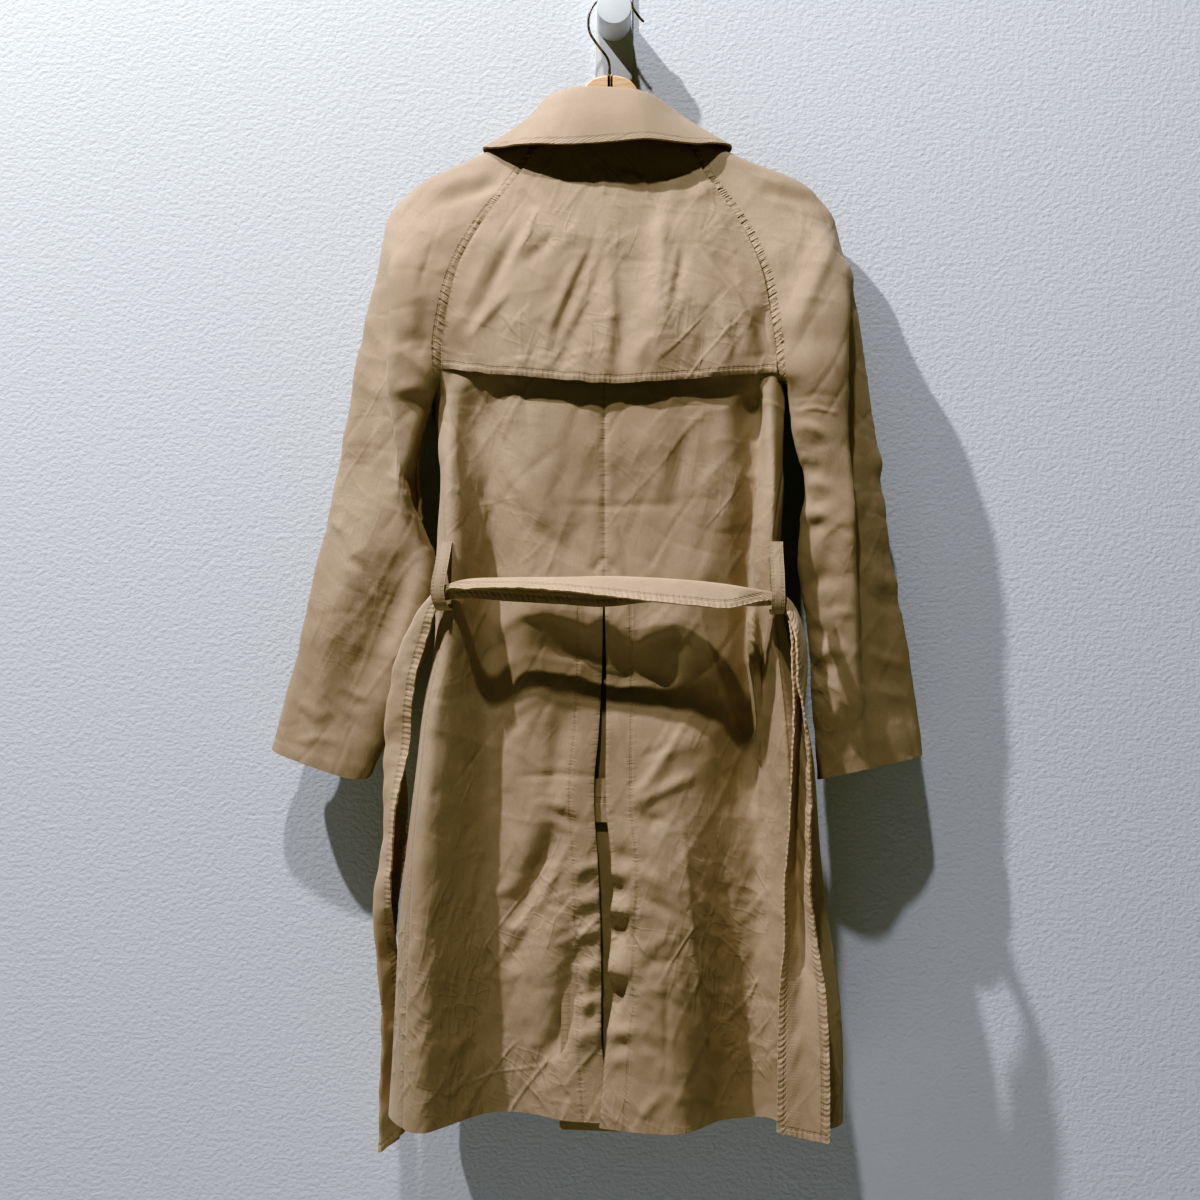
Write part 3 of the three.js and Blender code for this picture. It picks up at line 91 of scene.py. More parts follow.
TORSO_RIGHT = """
  z      cb        a1            a2            f            v           n          c          g           si           pb          pf         fa           fb          fc           ce
  -122   -10.5,58  1.5,57.5      12.5,56.5,0.5 21,55.5,1    26,54.5,1.5 30,53.5,2  32.5,53,2  35,52.5,2.5 36,52,2.5    37,52,3     44.5,20,-3 35,18,-7     11.5,14,-19 -12,11.5,-31 -34,11,-41
  -147.5 -10.5,61  11,61         31,60.5       46.5,59.5    56,59       63,58.5    68.5,58    72.5,57.5   74.5,57      76,57       78,21      64.5,18.5,-2 31,14.5,-8  -2.5,12,-16  -34,11,-25
  -177   -10.5,66  15.5,66       39.5,65.5     58,64.5      69.5,64     78,63.5    84.5,63    89,62.5     91.5,62      93.5,62     95.5,22    80,19.5      41,14.5,-2  2.5,12,-6    -34,11,-12
  -210   -10.5,74  21,74         50,73.5       72.5,72.5    86.5,72     96.5,71.5  104,71     109.5,70.5  113,70       115.5,70    117.5,20   99,18        54,14       8.5,11.5     -34,11
  -244.5 -10.5,82  26,82.5       59.5,82       85.5,81.5    101.5,81    113,80     122,80     128.5,79.5  132,79       135,79      137,19     116.5,17     65,13.5     14,11.5      -34,11
  -280.5 -10.5,89  29,89.5       65.5,89.5     94,89        111.5,88.5  124,88     133.5,87.5 141,87.5    145,87       148,87      150,18     128,16.5     72.5,13.5   17.5,11.5    -34,11
  -318   -10.5,95  31,96         69,96         99,95.5      117.5,95.5  130.5,95   140.5,94.5 148,94.5    152,94       155.5,94    157.5,18   134.5,16.5   77,13.5     19.5,11.5    -34,11
  -357.5 -10.5,99  32.5,100      75,100        111,99.5     130,99      140.5,99   147,98.5   154,98.5    158,98       161,98      163,20     139.5,18     80,14       21,11.5      -34,11
  -389   -10.5,101 35,101        80.5,100      122.5,98.5   141.5,97.5  148.5,97   154,96.5   158,96.5    161.5,96     164.5,96    166.5,27   142.5,23.5   82,16.5     22,12.5      -34,11
  -417.5 -10.5,102 33,103        78.5,101      120,97       145.5,86    151,97     155.5,101  161.5,99    171,88,6     174.5,76,17 180,44,17  172.5,27     123,17      38.5,12      -34,11
  -456   -10.5,105 33,106        78,104        118,101      145.5,85    149.5,99   153.5,108  158,109     169.5,92     168.5,76    171,46     164.5,26     118,16      38.5,11      -34,11
  -495.5 -10.5,106 33,107        77,106        116,103      144.5,86    148,103    152,114    157,118     168.5,97     166.5,76    169,46     162.5,25     114.5,16    38.5,11      -34,11
  -545   -10.5,111 33,112        75,111        114,103      140,88      143,111    147.5,121  155,125     167,101      164.5,76    166,46     159.5,24     112.5,16    38.5,11      -34,11
  -604   -10.5,121 33,122        74.5,119      112,105      135.5,92    138,117    142.5,122  153.5,130   167,103      162.5,76    164,46     156,24       112.5,16    38.5,11      -34,11
  -653.5 -         33,119        74.5,117      111,105      134,93      134.5,117  144,113    157.5,132   175,104      168.5,76    169,46     160.5,24     114.5,16    38.5,12      -34,11
  -712.5 -         32.5,117      74,117        111,106      136.5,92    140,112    146.5,109  164,134     184.5,105    176.5,76    176.5,46   167.5,24     117,16      38.5,13      -34,11
  -781.5 -         32.5,123      72,122        111,106      138.5,93    142,103    148.5,105  169.5,137   196,105      186.5,76    187,46     177,24       119,16      38.5,14      -34,11
  -850.5 -         32.5,130      69.5,128      111,106      137.5,98    143.5,99   151.5,108  175,139     204.5,106    195,76      195,46     185.5,24     121,16      38.5,15      -34,11
  -929.5 -         32,137        67.5,134      111,106      137.5,97    145.5,100  156.5,114  179.5,141   213,107      202.5,78    203.5,46   193,24       123,16      38.5,16      -34,11
  -1008  -         32,143        67,140        111,105      135.5,97    145,101    160,117    183,143     220,108      209,78      209.5,46   199.5,24     125,16      38.5,17      -34,11
  -1077  -         33.5,147      66.5,146      109,104      133.5,96    147,102    164,119    186,144     223.5,109    213,78      214,46     202.5,24     125,16      38.5,17      -34,11
  -1129  -         35.5,149,-0.5 66.5,149      107,103,-3.5 131.5,96,-4 149,103,-1 165.5,121  187.5,145   224.5,110,-3 214.5,80,-1 216,46     204.5,24,-1  125,16,-1   38.5,17,-1   -34,11,-1
"""
SLEEVE_LEFT = """
  z      rs          e1            e2           cr           tk           ou          ff          f1         f2             rf          in
  -122   -54,52,3    -60,51,5      -65.5,49,7.5 -69,46.5,9.5 -72,42.5,11  -74.5,36,12 -72.5,30,10 -69.5,26,7 -65.5,22.5,2.5 -61,20,-3   -
  -147.5 -79,57      -89,56        -103,54      -117.5,50    -129,45      -137,37.5   -129.5,30   -117,27    -99.5,24       -81,21      -
  -177   -98,62      -118,60       -143.5,56    -167.5,52    -187,46      -196.5,38   -188,30     -158.5,27  -129,24        -100,22     -
  -210   -121.5,70   -144,70       -172,67      -199.5,60    -225,49      -233.5,39   -227,29     -192.5,24  -158,21        -123.5,20   -
  -244.5 -143,79     -163,80       -187.5,80    -214.5,74    -234.5,58    -243,42     -236,27     -205,20    -175.5,18      -145,19     -
  -280.5 -159,87     -178,90       -202,94      -226,92      -232,72      -247.5,50   -238,27     -212.5,19  -186.5,17      -161,18     -
  -318   -168,94     -183.5,99     -205,104     -225,101     -227,81      -255.5,54   -244.5,28   -219.5,19  -195,18        -170,18     -
  -357.5 -173,98     -186.5,104    -206,109     -225,105     -225.5,84    -263.5,56   -251.5,29   -225,20    -200,19        -175,20     -
  -389   -174.5,96   -186.5,105    -205.5,110   -224.5,107   -224.5,85    -269,57     -255.5,30   -228.5,21  -203.5,21      -176.5,27   -
  -417.5 -182.5,78,3 -183,90,2     -201,104     -222.5,107   -223,86      -274,58     -260,31     -234.5,22  -208.5,24      -187.5,44,3 -185,61,3
  -456   -186,74     -186,82       -203,99      -218,107     -220.5,86    -282,58     -267.5,31   -242,24    -218.5,28      -204,44     -195,58
  -495.5 -186.5,70   -187,77       -199,91      -212,101     -219.5,87    -288.5,58   -274.5,31   -249.5,24  -224.5,28      -206,43     -196,56
  -535   -184,70     -184,78       -190,87      -196,94      -221,89      -295.5,58   -281.5,31   -255,24    -227.5,28      -204,42     -193,57
  -574.5 -180.5,66   -182.5,76     -190.5,84    -206,88      -241,86      -305.5,58   -289.5,31   -261.5,24  -230,28        -197,41     -183,53
  -624   -183,62     -186,73       -197,81      -216.5,85    -255,83      -316.5,58   -300.5,31   -270.5,24  -236.5,28      -201.5,40   -185.5,50
  -673   -194.5,62   -198.5,72     -211.5,79    -232,83      -267.5,81    -328,58     -312,31     -282,24    -249,28        -214,40     -197,50
  -722.5 -216,62     -221,71       -232,77      -251.5,80    -280.5,78    -340,58     -324.5,31   -295.5,24  -265.5,28      -233.5,40   -218.5,50
  -780   -248,62,-11 -251.5,70,-16 -259,74,-17  -273,77,-15  -299.5,75,-7 -351,58,12  -342,32,14  -316,25,10 -290,28,3      -263,40,-3  -251,50,-7
"""
SLEEVE_RIGHT = """
  z      rs          e1         e2           cr            tk          ou         ff         f1        f2            rf         in
  -122   37,52,3     43.5,51,5  48.5,49,7.5  52.5,46.5,9.5 55,42.5,11  57.5,36,12 55.5,30,10 52.5,26,7 48.5,22.5,2.5 44.5,20,-3 -
  -147.5 76,57       85.5,56    98.5,54      110,50        117,45      122,37.5   117.5,30   108,27    94,24         78,21      -
  -177   93.5,62     115,60     140,56       161.5,52      181.5,46    192.5,38   183,30     153.5,27  123.5,24      95.5,22    -
  -210   115.5,70    138.5,70   166,67       192.5,60      216.5,49    225,39     218,29     184.5,24  151,21        117.5,20   -
  -244.5 135,79      160,81     186,80       212,73        227,58      235.5,42   228.5,27   197.5,20  167,18        137,19     -
  -280.5 148,87      171.5,92   200.5,95     231,88        243.5,70    243,50     234,27     206,19    178,17        150,18     -
  -318   155.5,94    172.5,101  200,107      234,98        237,82      250.5,55   240.5,29   212.5,20  184.5,18      157.5,18   -
  -357.5 161,98      175,107    202,113      233,105       234,85      257,57     244,29     216.5,20  189.5,19      163,20     -
  -389   164.5,96    175.5,109  201.5,116    232,107       232.5,87    260.5,58   246.5,30   220,21    193,21        166.5,27   -
  -417.5 174.5,76,17 176,94,10  198,112      232,108       233,88      264,59     251,31     226,22    202,24        180,44,17  177,60,17
  -456   185,76      181,90     200.5,108    233,108       234.5,89    268.5,59   256,31     232,22    207.5,25      192.5,42   187,59
  -495.5 194,75      191,89     207,101      236,106       238,89      274.5,59   262.5,31   239.5,22  216,25        201,40     196.5,57
  -535   191,75      188,90     206,99       238.5,105     240.5,89    281,59     268.5,31   244.5,23  220,26        199.5,40   193.5,57
  -574.5 189,75      186,89     206.5,99     240.5,103     244,89      287.5,59   274.5,31   248.5,23  220,26        200.5,40   191.5,57
  -624   193.5,73    191.5,88   211.5,97     242.5,102     248,89      296,59     282,31     254,23    224.5,26      205.5,40   197,57
  -673   197.5,71    195.5,85   214,96       242.5,100     251,88      304,59     290,31     260,23    229.5,26      209.5,40   201,55
  -722.5 203,67      201,81     218,93       247,97        254.5,88    310.5,59   296.5,31   266,23    234.5,26      214.5,39   206,52
  -780   210,63,-13  208,76,-16 225.5,88,-11 251,92,-5     268.5,84,-2 317,59,6.5 308.5,32,9 278,25,4  243,28,-2     221,40,-8  212,50,-10
"""
VENT_EDGES = """
  z       left      right
  -620    -11.5,120 -10,120
  -663    -12,117   -9.5,117
  -712.5  -14,114   -9,115
  -752    -16.5,115 -9,117
  -786.5  -20,117   -9.5,119
  -826    -20,119   -8.5,121
  -860.5  -17.5,120 -4.5,124
  -900    -15.5,120 -3,126
  -939    -14,120   -6,128
  -983.5  -13.5,119 -6,129
  -1023   -13.5,119 -7,130
  -1057.5 -12.5,118 -10,131
  -1077   -10.5,118 -12,132
  -1102   -9,118    -14,133
  -1129   -7,119    -16,133
"""
SIDE_SEAM = """
  z       left  right
  -417.5  7.5   9.5
  -456    6.6   8.6
  -495.5  5.8   7.7
  -545    5.25  7.2
  -604    5.3   7.15
  -1129   5.3   7.15
"""
FLAP_EDGE = """
  x      z       off
  -175   -381.5  0.4
  -160   -383    3
  -110   -389.5  9
  -55    -396    11
  -10.5  -399    12
  40     -397.5  11.5
  95     -392    9
  148    -386.5  3
  163    -385.5  0.4
"""
COLLAR = """
  name  roll             mid                edge
  L7    -43.5,10,-105    -55,8.5,-121.5     -73.5,7.5,-151
  L6    -61.5,15,-100.5  -78.5,12,-120.5    -108,12.5,-144.5
  L5    -70,24,-96       -91.5,22.5,-114.5  -131.5,24.5,-147.5
  L4    -72.5,34,-94     -94,37,-117.5      -136,38,-144.5
  L3    -68,43,-92       -81,50,-111.5      -124,57,-149
  L2    -55,52,-89       -67,66,-115        -94,79,-152.5
  L1    -35.5,59,-87.5   -41,77,-118        -55,90,-154.5
  C     -8.5,60,-88      -10.5,80,-119      -10.5,92,-153.5
  R1    22.5,59,-90.5    29,77,-119         35.5,90,-151
  R2    39,52,-93.5      51,66,-119         77.5,79,-150
  R3    51,43,-98        65,50,-115         107,57.5,-145
  R4    56.5,34,-100     79.5,37,-116.5     122,38,-143
  R5    54.5,24,-100.5   76,22.5,-117       118,24,-146
  R6    46,15,-102.5     62,12,-122         95,12.5,-144.5
  R7    28,10,-106       39.5,8.5,-121.5    58,7.5,-151
"""
NECK_SEAM = """
  name  x,d,z
  L7    -44,17.7,-132.2
  L6    -61,20.3,-123.4
  L5    -71,28,-113
  L4    -74.5,36,-110
  L3    -69,46.5,-112.5
  L2    -54,52,-119
  L1    -34,56.3,-121
  C     -10.5,58,-122
  R1    14.5,56.2,-121
  R2    37,52,-119
  R3    52.5,46.5,-112.5
  R4    57.5,36,-110
  R5    54,28,-113
  R6    44.5,20.3,-123.4
  R7    27,17.3,-131.8
"""
BELT = """
  name       S                 F                 B
  left_end   -237,84,-1172     -214.5,66,-1158   -221.5,60,-1167.5
  left_1100  -237,86,-1119     -217,70,-1121.5   -223,62,-1126.5
  left_1050  -234.5,87,-1068   -216.5,72,-1072   -222,64,-1075.5
  left_1000  -235.5,88,-1017.5 -217.5,74,-1021.5 -222.5,66,-1023.5
  left_950   -239.5,90,-968.5  -220.5,80,-967    -224,70,-971.5
  left_900   -242,92,-917.5    -222.5,108,-908   -218,84,-916.5
  left_850   -233,92,-865.5    -220.5,112,-862   -211,84,-867
  left_800   -230.5,95,-814.5  -216,113,-812     -208,91,-815
  left_750   -230.5,98,-764    -204.5,107,-763   -212,90,-765
  left_700   -225.5,104,-711.5 -200.5,115,-717   -207,97,-715
  left_660   -216,112,-671.5   -192.5,123,-677   -200,104,-674.5
  left_625   -200.5,122,-637.5 -180.5,133,-643   -186.5,117,-640.5
  left_605   -185.5,132,-617   -175,139.5,-626   -178,129.5,-622
  left_loop  -172,140,-603     -166.5,145,-614   -167.5,136,-615
  span_447   -163,143,-599.5   -162,147,-604.5   -162.5,137.5,-613.5
  span_467   -143.5,143,-594.5 -143,151.5,-603.5 -144,141,-612
  span_507   -104.5,145,-593   -104,156.5,-602.5 -104.5,145,-615
  span_561   -52,147,-592.5    -52,160,-605.5    -52.5,149,-618
  span_604   -11,148.5,-591.5  -11,162,-610      -11,151,-620.5
  span_649   32.5,149,-593     32.5,162,-615     32.5,150,-616
  span_695   76.5,147.5,-596   76.5,160,-619.5   77,147,-614
  span_727   108,145.5,-599.5  107.5,156,-622    108.5,143,-616
  span_748   128.5,147,-603    128,150,-618      129,140,-619.5
  span_766   146,144,-606      145.5,147,-614.5  147,137,-619
  right_loop 161,142,-609      158.5,145.5,-616  158.5,136,-618
  right_606  168,142,-613      164,148,-619.5    163,137,-622
  right_618  176.5,143,-625.5  168.5,153,-634    167,144,-632.5
  right_640  183.5,144,-650.5  172.5,163,-653    169,154,-653.5
  right_680  185,144,-691.5    173.5,165,-691    169.5,160,-691.5
  right_716  181.5,141,-726.5  180,165,-724.5    170.5,162,-725
  right_750  178.5,140,-759.5  186,163,-757      169,162,-757.5
  right_790  176.5,140,-798.5  187,162,-795.5    167.5,162,-795.5
  right_842  176.5,140,-849    187,162,-845      165,162,-845
  right_880  177.5,141,-885.5  186,163,-881.5    161.5,161,-881.5
  right_910  177.5,142,-914.5  189,162,-910      161,162,-910
  right_940  178,145,-943      193,161,-939      161.5,161,-939
  right_984  180,152,-983.5    200.5,160,-981.5  157.5,160,-981.5
  right_1030 180,156,-1026.5   204,160,-1025.5   156,158,-1026
  right_1080 181,157,-1074.5   205.5,160,-1073.5 155.5,158,-1074
  right_end  181,157,-1130.5   205.5,160,-1135   155,157,-1125
"""
LOOP_LEFT = """
  name    x,d,z
  top     -165.9,129.8,-557
  out     -166.8,136,-567
  over    -168.7,144.5,-583
  front   -171.3,149.5,-599.5
  low     -171,150,-611
  under   -168,146.5,-620.5
  back    -165.5,140,-623.5
  end     -164.5,135.5,-621
"""
LOOP_RIGHT = """
  name    x,d,z
  top     157.7,131.5,-557
  out     157.4,136,-567
  over    157.4,144.5,-585
  front   157.2,151,-602
  low     157.2,152,-614
  under   157,148,-624.5
  back    157,140,-627
  end     157,134,-623.5
"""
UNDERLAY = """
  z      left     right
  -612   -40,100  25,100
  -700   -44,104  26,104
  -790   -48,106  28,107
  -900   -51,107  30,109
  -1010  -53,107  32,111
  -1141  -55,106  34,112
"""
VENT_TAB = """
  z     left     right
  -791  -26,112  9,113
  -812  -26,112  9,113
  -834  -26,112  9,113
"""
ARM_TOP = """
  name    x     z
  dome    0     -66.7
  dome1   10    -68
  dome2   19    -71.5
  dome3   26    -78
  neck    31    -88
  neck1   42    -104
  neck2   53    -113.5
  run     70    -122.5
  run1    95    -135.5
  run2    125   -150
  run3    155   -164
  run4    180   -176
  run5    200   -189
  tip     207   -199
"""
ARM_DEPTH = """
  x    deep
  0    46
  26   36
  53   24
  95   21
  155  19
  200  17
  207  12
"""
HOOK_LINE = """
  name    x      z
  end     -4.8   -79
  stem    -4.8   -66
  stem1   -5.3   -53
  bend    -8.4   -45.8
  bend1   -14.7  -37.5
  bend2   -20.9  -29.1
  side    -25.1  -21.8
  side1   -26.8  -13.4
  side2   -26.2  -4
  side3   -23.2  4.2
  top     -17.4  11.6
  top1    -9.5   17.4
  top2    0      19.8
  top3    9.4    17.5
  top4    16.2   11.6
  lip     19.9   4.4
  lip1    24     -2
  lip2    28.1   -7.2
  tip     31.3   -10.3
"""


def parse(text):
    lines = [line.split() for line in text.strip().split("\n")]
    rows = []
    for cells in lines[1:]:
        key = cells[0]
        try:
            key = float(key)
        except ValueError:
            pass
        rows.append((key, [None if c == "-" else [float(v) for v in c.split(",")] for c in cells[1:]]))
    return lines[0][1:], rows


def follow(knots, t):
    """A smooth curve through (position, values) knots, evaluated at the array t and held at its ends."""
    at = np.array([k[0] for k in knots], float)
    val = np.array([np.atleast_1d(k[1]) for k in knots], float)
    sign = 1.0 if at[-1] > at[0] else -1.0
    at = at * sign
    s = np.clip(np.asarray(t, float) * sign, at[0], at[-1])
    i = np.clip(np.searchsorted(at, s, side="right") - 1, 0, len(at) - 2)
    h = np.diff(at)
    slope = np.diff(val, axis=0) / h[:, None]
    m = np.empty_like(val)
    m[0], m[-1] = slope[0], slope[-1]
    if len(at) > 2:
        m[1:-1] = (slope[:-1] * h[1:, None] + slope[1:] * h[:-1, None]) / (h[:-1] + h[1:])[:, None]
    w = ((s - at[i]) / h[i])[..., None]
    hi = h[i][..., None]
    w2, w3 = w * w, w * w * w
    return (2 * w3 - 3 * w2 + 1) * val[i] + (w3 - 2 * w2 + w) * m[i] * hi + (3 * w2 - 2 * w3) * val[i + 1] + (w3 - w2) * m[i + 1] * hi


def across(p0, p1, p2, p3, w):
    """A smooth curve across four neighbouring points, at w from the second to the third."""
    def gap(a, b):
        return np.maximum(np.sqrt(np.linalg.norm(a - b, axis=-1)), 0.05)[..., None]
    d0, d1, d2 = gap(p0, p1), gap(p1, p2), gap(p2, p3)
    m1 = ((p1 - p0) / d0 - (p2 - p0) / (d0 + d1) + (p2 - p1) / d1) * d1
    m2 = ((p2 - p1) / d1 - (p3 - p1) / (d1 + d2) + (p3 - p2) / d2) * d1
    w = w[..., None]
    w2, w3 = w * w, w * w * w
    return (2 * w3 - 3 * w2 + 1) * p1 + (w3 - 2 * w2 + w) * m1 + (3 * w2 - 2 * w3) * p2 + (w3 - w2) * m2


def column(tab, name, more=()):
    names, rows = tab
    c = names.index(name)
    knots = [(key, [cells[c][0], cells[c][1], key + (cells[c][2] if len(cells[c]) > 2 else 0.0)]) for key, cells in rows if cells[c]]
    knots = knots + list(more)
    return lambda z: follow(knots, z)


class Ring:
    """A run of columns. at(u, z) is the outer face as x, d, height, with u counting columns."""

    def __init__(self, columns, closed=False, ghost_start=None, ghost_end=None):
        self.columns, self.closed = columns, closed
        self.ghost_start, self.ghost_end = ghost_start, ghost_end

    def beyond(self, ghost, edge, inner, z):
        plain = 2 * edge - inner
        if ghost is None:
            return plain
        point, weight = ghost(z)
        return plain + (point - plain) * weight[..., None]

    def at(self, u, z):
        u, z = np.broadcast_arrays(np.asarray(u, float), np.asarray(z, float))
        shape = u.shape
        u, z = u.ravel(), z.ravel()
        pts = [c(z) for c in self.columns]
        n = len(pts)
        if self.closed:
            u = np.mod(u, n)
            i = np.minimum(np.floor(u).astype(int), n - 1)
            all_pts = np.stack([pts[-1]] + pts + [pts[0], pts[1 % n]])
        else:
            u = np.clip(u, 0, n - 1)
            i = np.minimum(np.floor(u).astype(int), n - 2)
            first = self.beyond(self.ghost_start, pts[0], pts[1], z)
            last = self.beyond(self.ghost_end, pts[-1], pts[-2], z)
            all_pts = np.stack([first] + pts + [last])
        k = np.arange(len(u))
        w = u - i
        out = across(all_pts[i, k], all_pts[i + 1, k], all_pts[i + 2, k], all_pts[i + 3, k], w)
        return out.reshape(shape + (3,))


def smooth(x, a, b):
    t = np.clip((np.asarray(x, float) - a) / (b - a), 0, 1)
    return t * t * (3 - 2 * t)


torso = {"left": parse(TORSO_LEFT), "right": parse(TORSO_RIGHT)}
arm = {"left": parse(SLEEVE_LEFT), "right": parse(SLEEVE_RIGHT)}
vent_names, vent_rows = parse(VENT_EDGES)
seam_names, seam_rows = parse(SIDE_SEAM)
FRONT = ["pf", "fa", "fb", "fc", "ce"]
ARM_BACK = ["e1", "e2", "cr", "tk", "ou"]
ARM_FRONT = ["ff", "f1", "f2"]
back_names = {s: torso[s][0][: torso[s][0].index("pb") + 1] for s in torso}


def vent_knots(side):
    out = []
    for key, cells in vent_rows:
        x, d = cells[0 if side == "left" else 1][:2]
        fall = (-2.0 if side == "left" else -1.0) if key == HEM else 0.0
        out.append((key, [x, d, key + fall]))
    return out


centre = {s: column(torso[s], "cb", vent_knots(s)) for s in torso}
back_cols = {s: [centre[s] if n == "cb" else column(torso[s], n) for n in back_names[s]] for s in torso}
front_cols = {s: [column(torso[s], n) for n in FRONT] for s in torso}
arm_back = {s: [column(arm[s], n) for n in ARM_BACK] for s in torso}
arm_front = {s: [column(arm[s], n) for n in ARM_FRONT] for s in torso}
upper = Ring(front_cols["left"][::-1] + arm_front["left"][::-1] + arm_back["left"][::-1] + back_cols["left"][::-1]
             + back_cols["right"][1:] + arm_back["right"] + arm_front["right"] + front_cols["right"])
UPPER_CB = 5 + 3 + 5 + len(back_names["left"]) - 1


def open_below(z):
    return smooth(-z, -VENT_TOP, -VENT_TOP + 60)


half = {s: back_cols[s] + front_cols[s] for s in torso}
body = {
    "left": Ring(half["left"][::-1], ghost_end=lambda z: (half["right"][1](z), 1 - open_below(z))),
    "right": Ring(half["right"], ghost_start=lambda z: (half["left"][1](z), 1 - open_below(z))),
}
tube = {
    "left": Ring([column(arm["left"], n) for n in ["in", "rf", "f2", "f1", "ff", "ou", "tk", "cr", "e2", "e1", "rs"]], True),
    "right": Ring([column(arm["right"], n) for n in ["in", "rs", "e1", "e2", "cr", "tk", "ou", "ff", "f1", "f2", "rf"]], True),
}
SIGN = {"left": -1.0, "right": 1.0}
PB = {s: len(back_names[s]) - 1 for s in torso}


def up_at(side, q, z):
    return upper.at(UPPER_CB + SIGN[side] * np.asarray(q, float), z)


def body_raw(side, q, z):
    start = len(half["left"]) - 1 if side == "left" else 0
    return body[side].at(start + SIGN[side] * np.asarray(q, float), z)


def mix(a, b, w):
    w = np.asarray(w, float)[..., None]
    return a + (b - a) * w


def armpit_body(side, q):
    """The body's line at the armpit level: the upper ring, with a straight run under the arm."""
    pb, pf = PB[side], PB[side] + 1
    q = np.asarray(q, float)
    z = np.full(q.shape, ARMPIT)
    a = up_at(side, np.minimum(q, pb), z)
    b = up_at(side, np.maximum(q, pf) + len(ARM_BACK) + len(ARM_FRONT), z)
    return mix(a, b, np.clip(q - pb, 0, 1))


def body_at(side, q, z):
    """The body's outer face: one with the sleeves above the armpit, on its own below it."""
    q, z = np.broadcast_arrays(np.asarray(q, float), np.asarray(z, float))
    pb = PB[side]
    qa = np.where(q <= pb, q, np.maximum(q, pb + 1) + 8)
    above = up_at(side, qa, np.maximum(z, ARMPIT))
    fix = armpit_body(side, q) - body_raw(side, q, np.full(q.shape, ARMPIT))
    fade = 1 - smooth(-z, -ARMPIT, -ARMPIT + 55)
    below = body_raw(side, q, np.minimum(z, ARMPIT)) + fix * fade[..., None]
    return np.where((z >= ARMPIT)[..., None], above, below)


def tube_raw(side, q, z):
    return tube[side].at(SIGN[side] * np.asarray(q, float), z)


def armpit_sleeve(side, q):
    """q counts from the inner line (0) over the back (1..6) to the front (10) and round to 11."""
    q = np.asarray(q, float)
    pb = PB[side]
    z = np.full(q.shape, ARMPIT)
    ring_q = np.clip(q, 1, 10) - 1 + pb
    p = up_at(side, ring_q, z)
    a = up_at(side, np.full(q.shape, float(pb)), z)
    b = up_at(side, np.full(q.shape, pb + 9.0), z)
    mid = (a + b) / 2
    p = mix(p, mid, np.clip(1 - q, 0, 1))
    return mix(p, mid, np.clip(q - 10, 0, 1))


def sleeve_at(side, q, z):
    q, z = np.broadcast_arrays(np.asarray(q, float), np.asarray(z, float))
    above = up_at(side, np.clip(q, 1, 10) - 1 + PB[side], np.maximum(z, ARMPIT))
    fix = armpit_sleeve(side, q) - tube_raw(side, q, np.full(q.shape, ARMPIT))
    fade = 1 - smooth(-z, -ARMPIT, -ARMPIT + 55)
    below = tube_raw(side, q, np.minimum(z, ARMPIT)) + fix * fade[..., None]
    return np.where((z >= ARMPIT)[..., None], above, below)


def world(p):
    """x, d, height in millimetres to x, y, z in millimetres."""
    return np.stack([p[..., 0], -p[..., 1], p[..., 2]], axis=-1)


# ------------------------------------------------------------------ folds
def waves(seed, low, high, n=18, stretch=(1.0, 1.0)):
    """A smooth random height over (a, b), made of n waves between two lengths."""
    r = np.random.default_rng(seed)
    length = np.exp(r.uniform(np.log(low), np.log(high), n))
    angle = r.uniform(0, np.pi * 2, n)
    phase = r.uniform(0, np.pi * 2, n)
    kx = np.cos(angle) / length * 2 * np.pi / stretch[0]
    ky = np.sin(angle) / length * 2 * np.pi / stretch[1]

    def height(a, b):
        out = np.zeros(np.shape(a))
        for i in range(n):
            out += np.sin(kx[i] * a + ky[i] * b + phase[i])
        return out / math.sqrt(n / 2)
    return height


def strokes(text):
    out = []
    for line in text.strip().split("\n"):
        cells = line.split()
        if not cells or cells[0].startswith("#"):
            continue
        width, height, skew = (float(c) for c in cells[:3])
        out.append((width, height, skew, np.array([[float(v) for v in c.split(",")] for c in cells[3:]])))
    return out


def picture(p):
    """Where points in x, y, z millimetres are seen, as column and row of a 1200-wide view from the front."""
    depth = CAM["dist"] + p[..., 1]
    return 600 + (p[..., 0] - CAM["x"]) * CAM["focal"] / depth, 600 - (p[..., 2] - CAM["z"]) * CAM["focal"] / depth


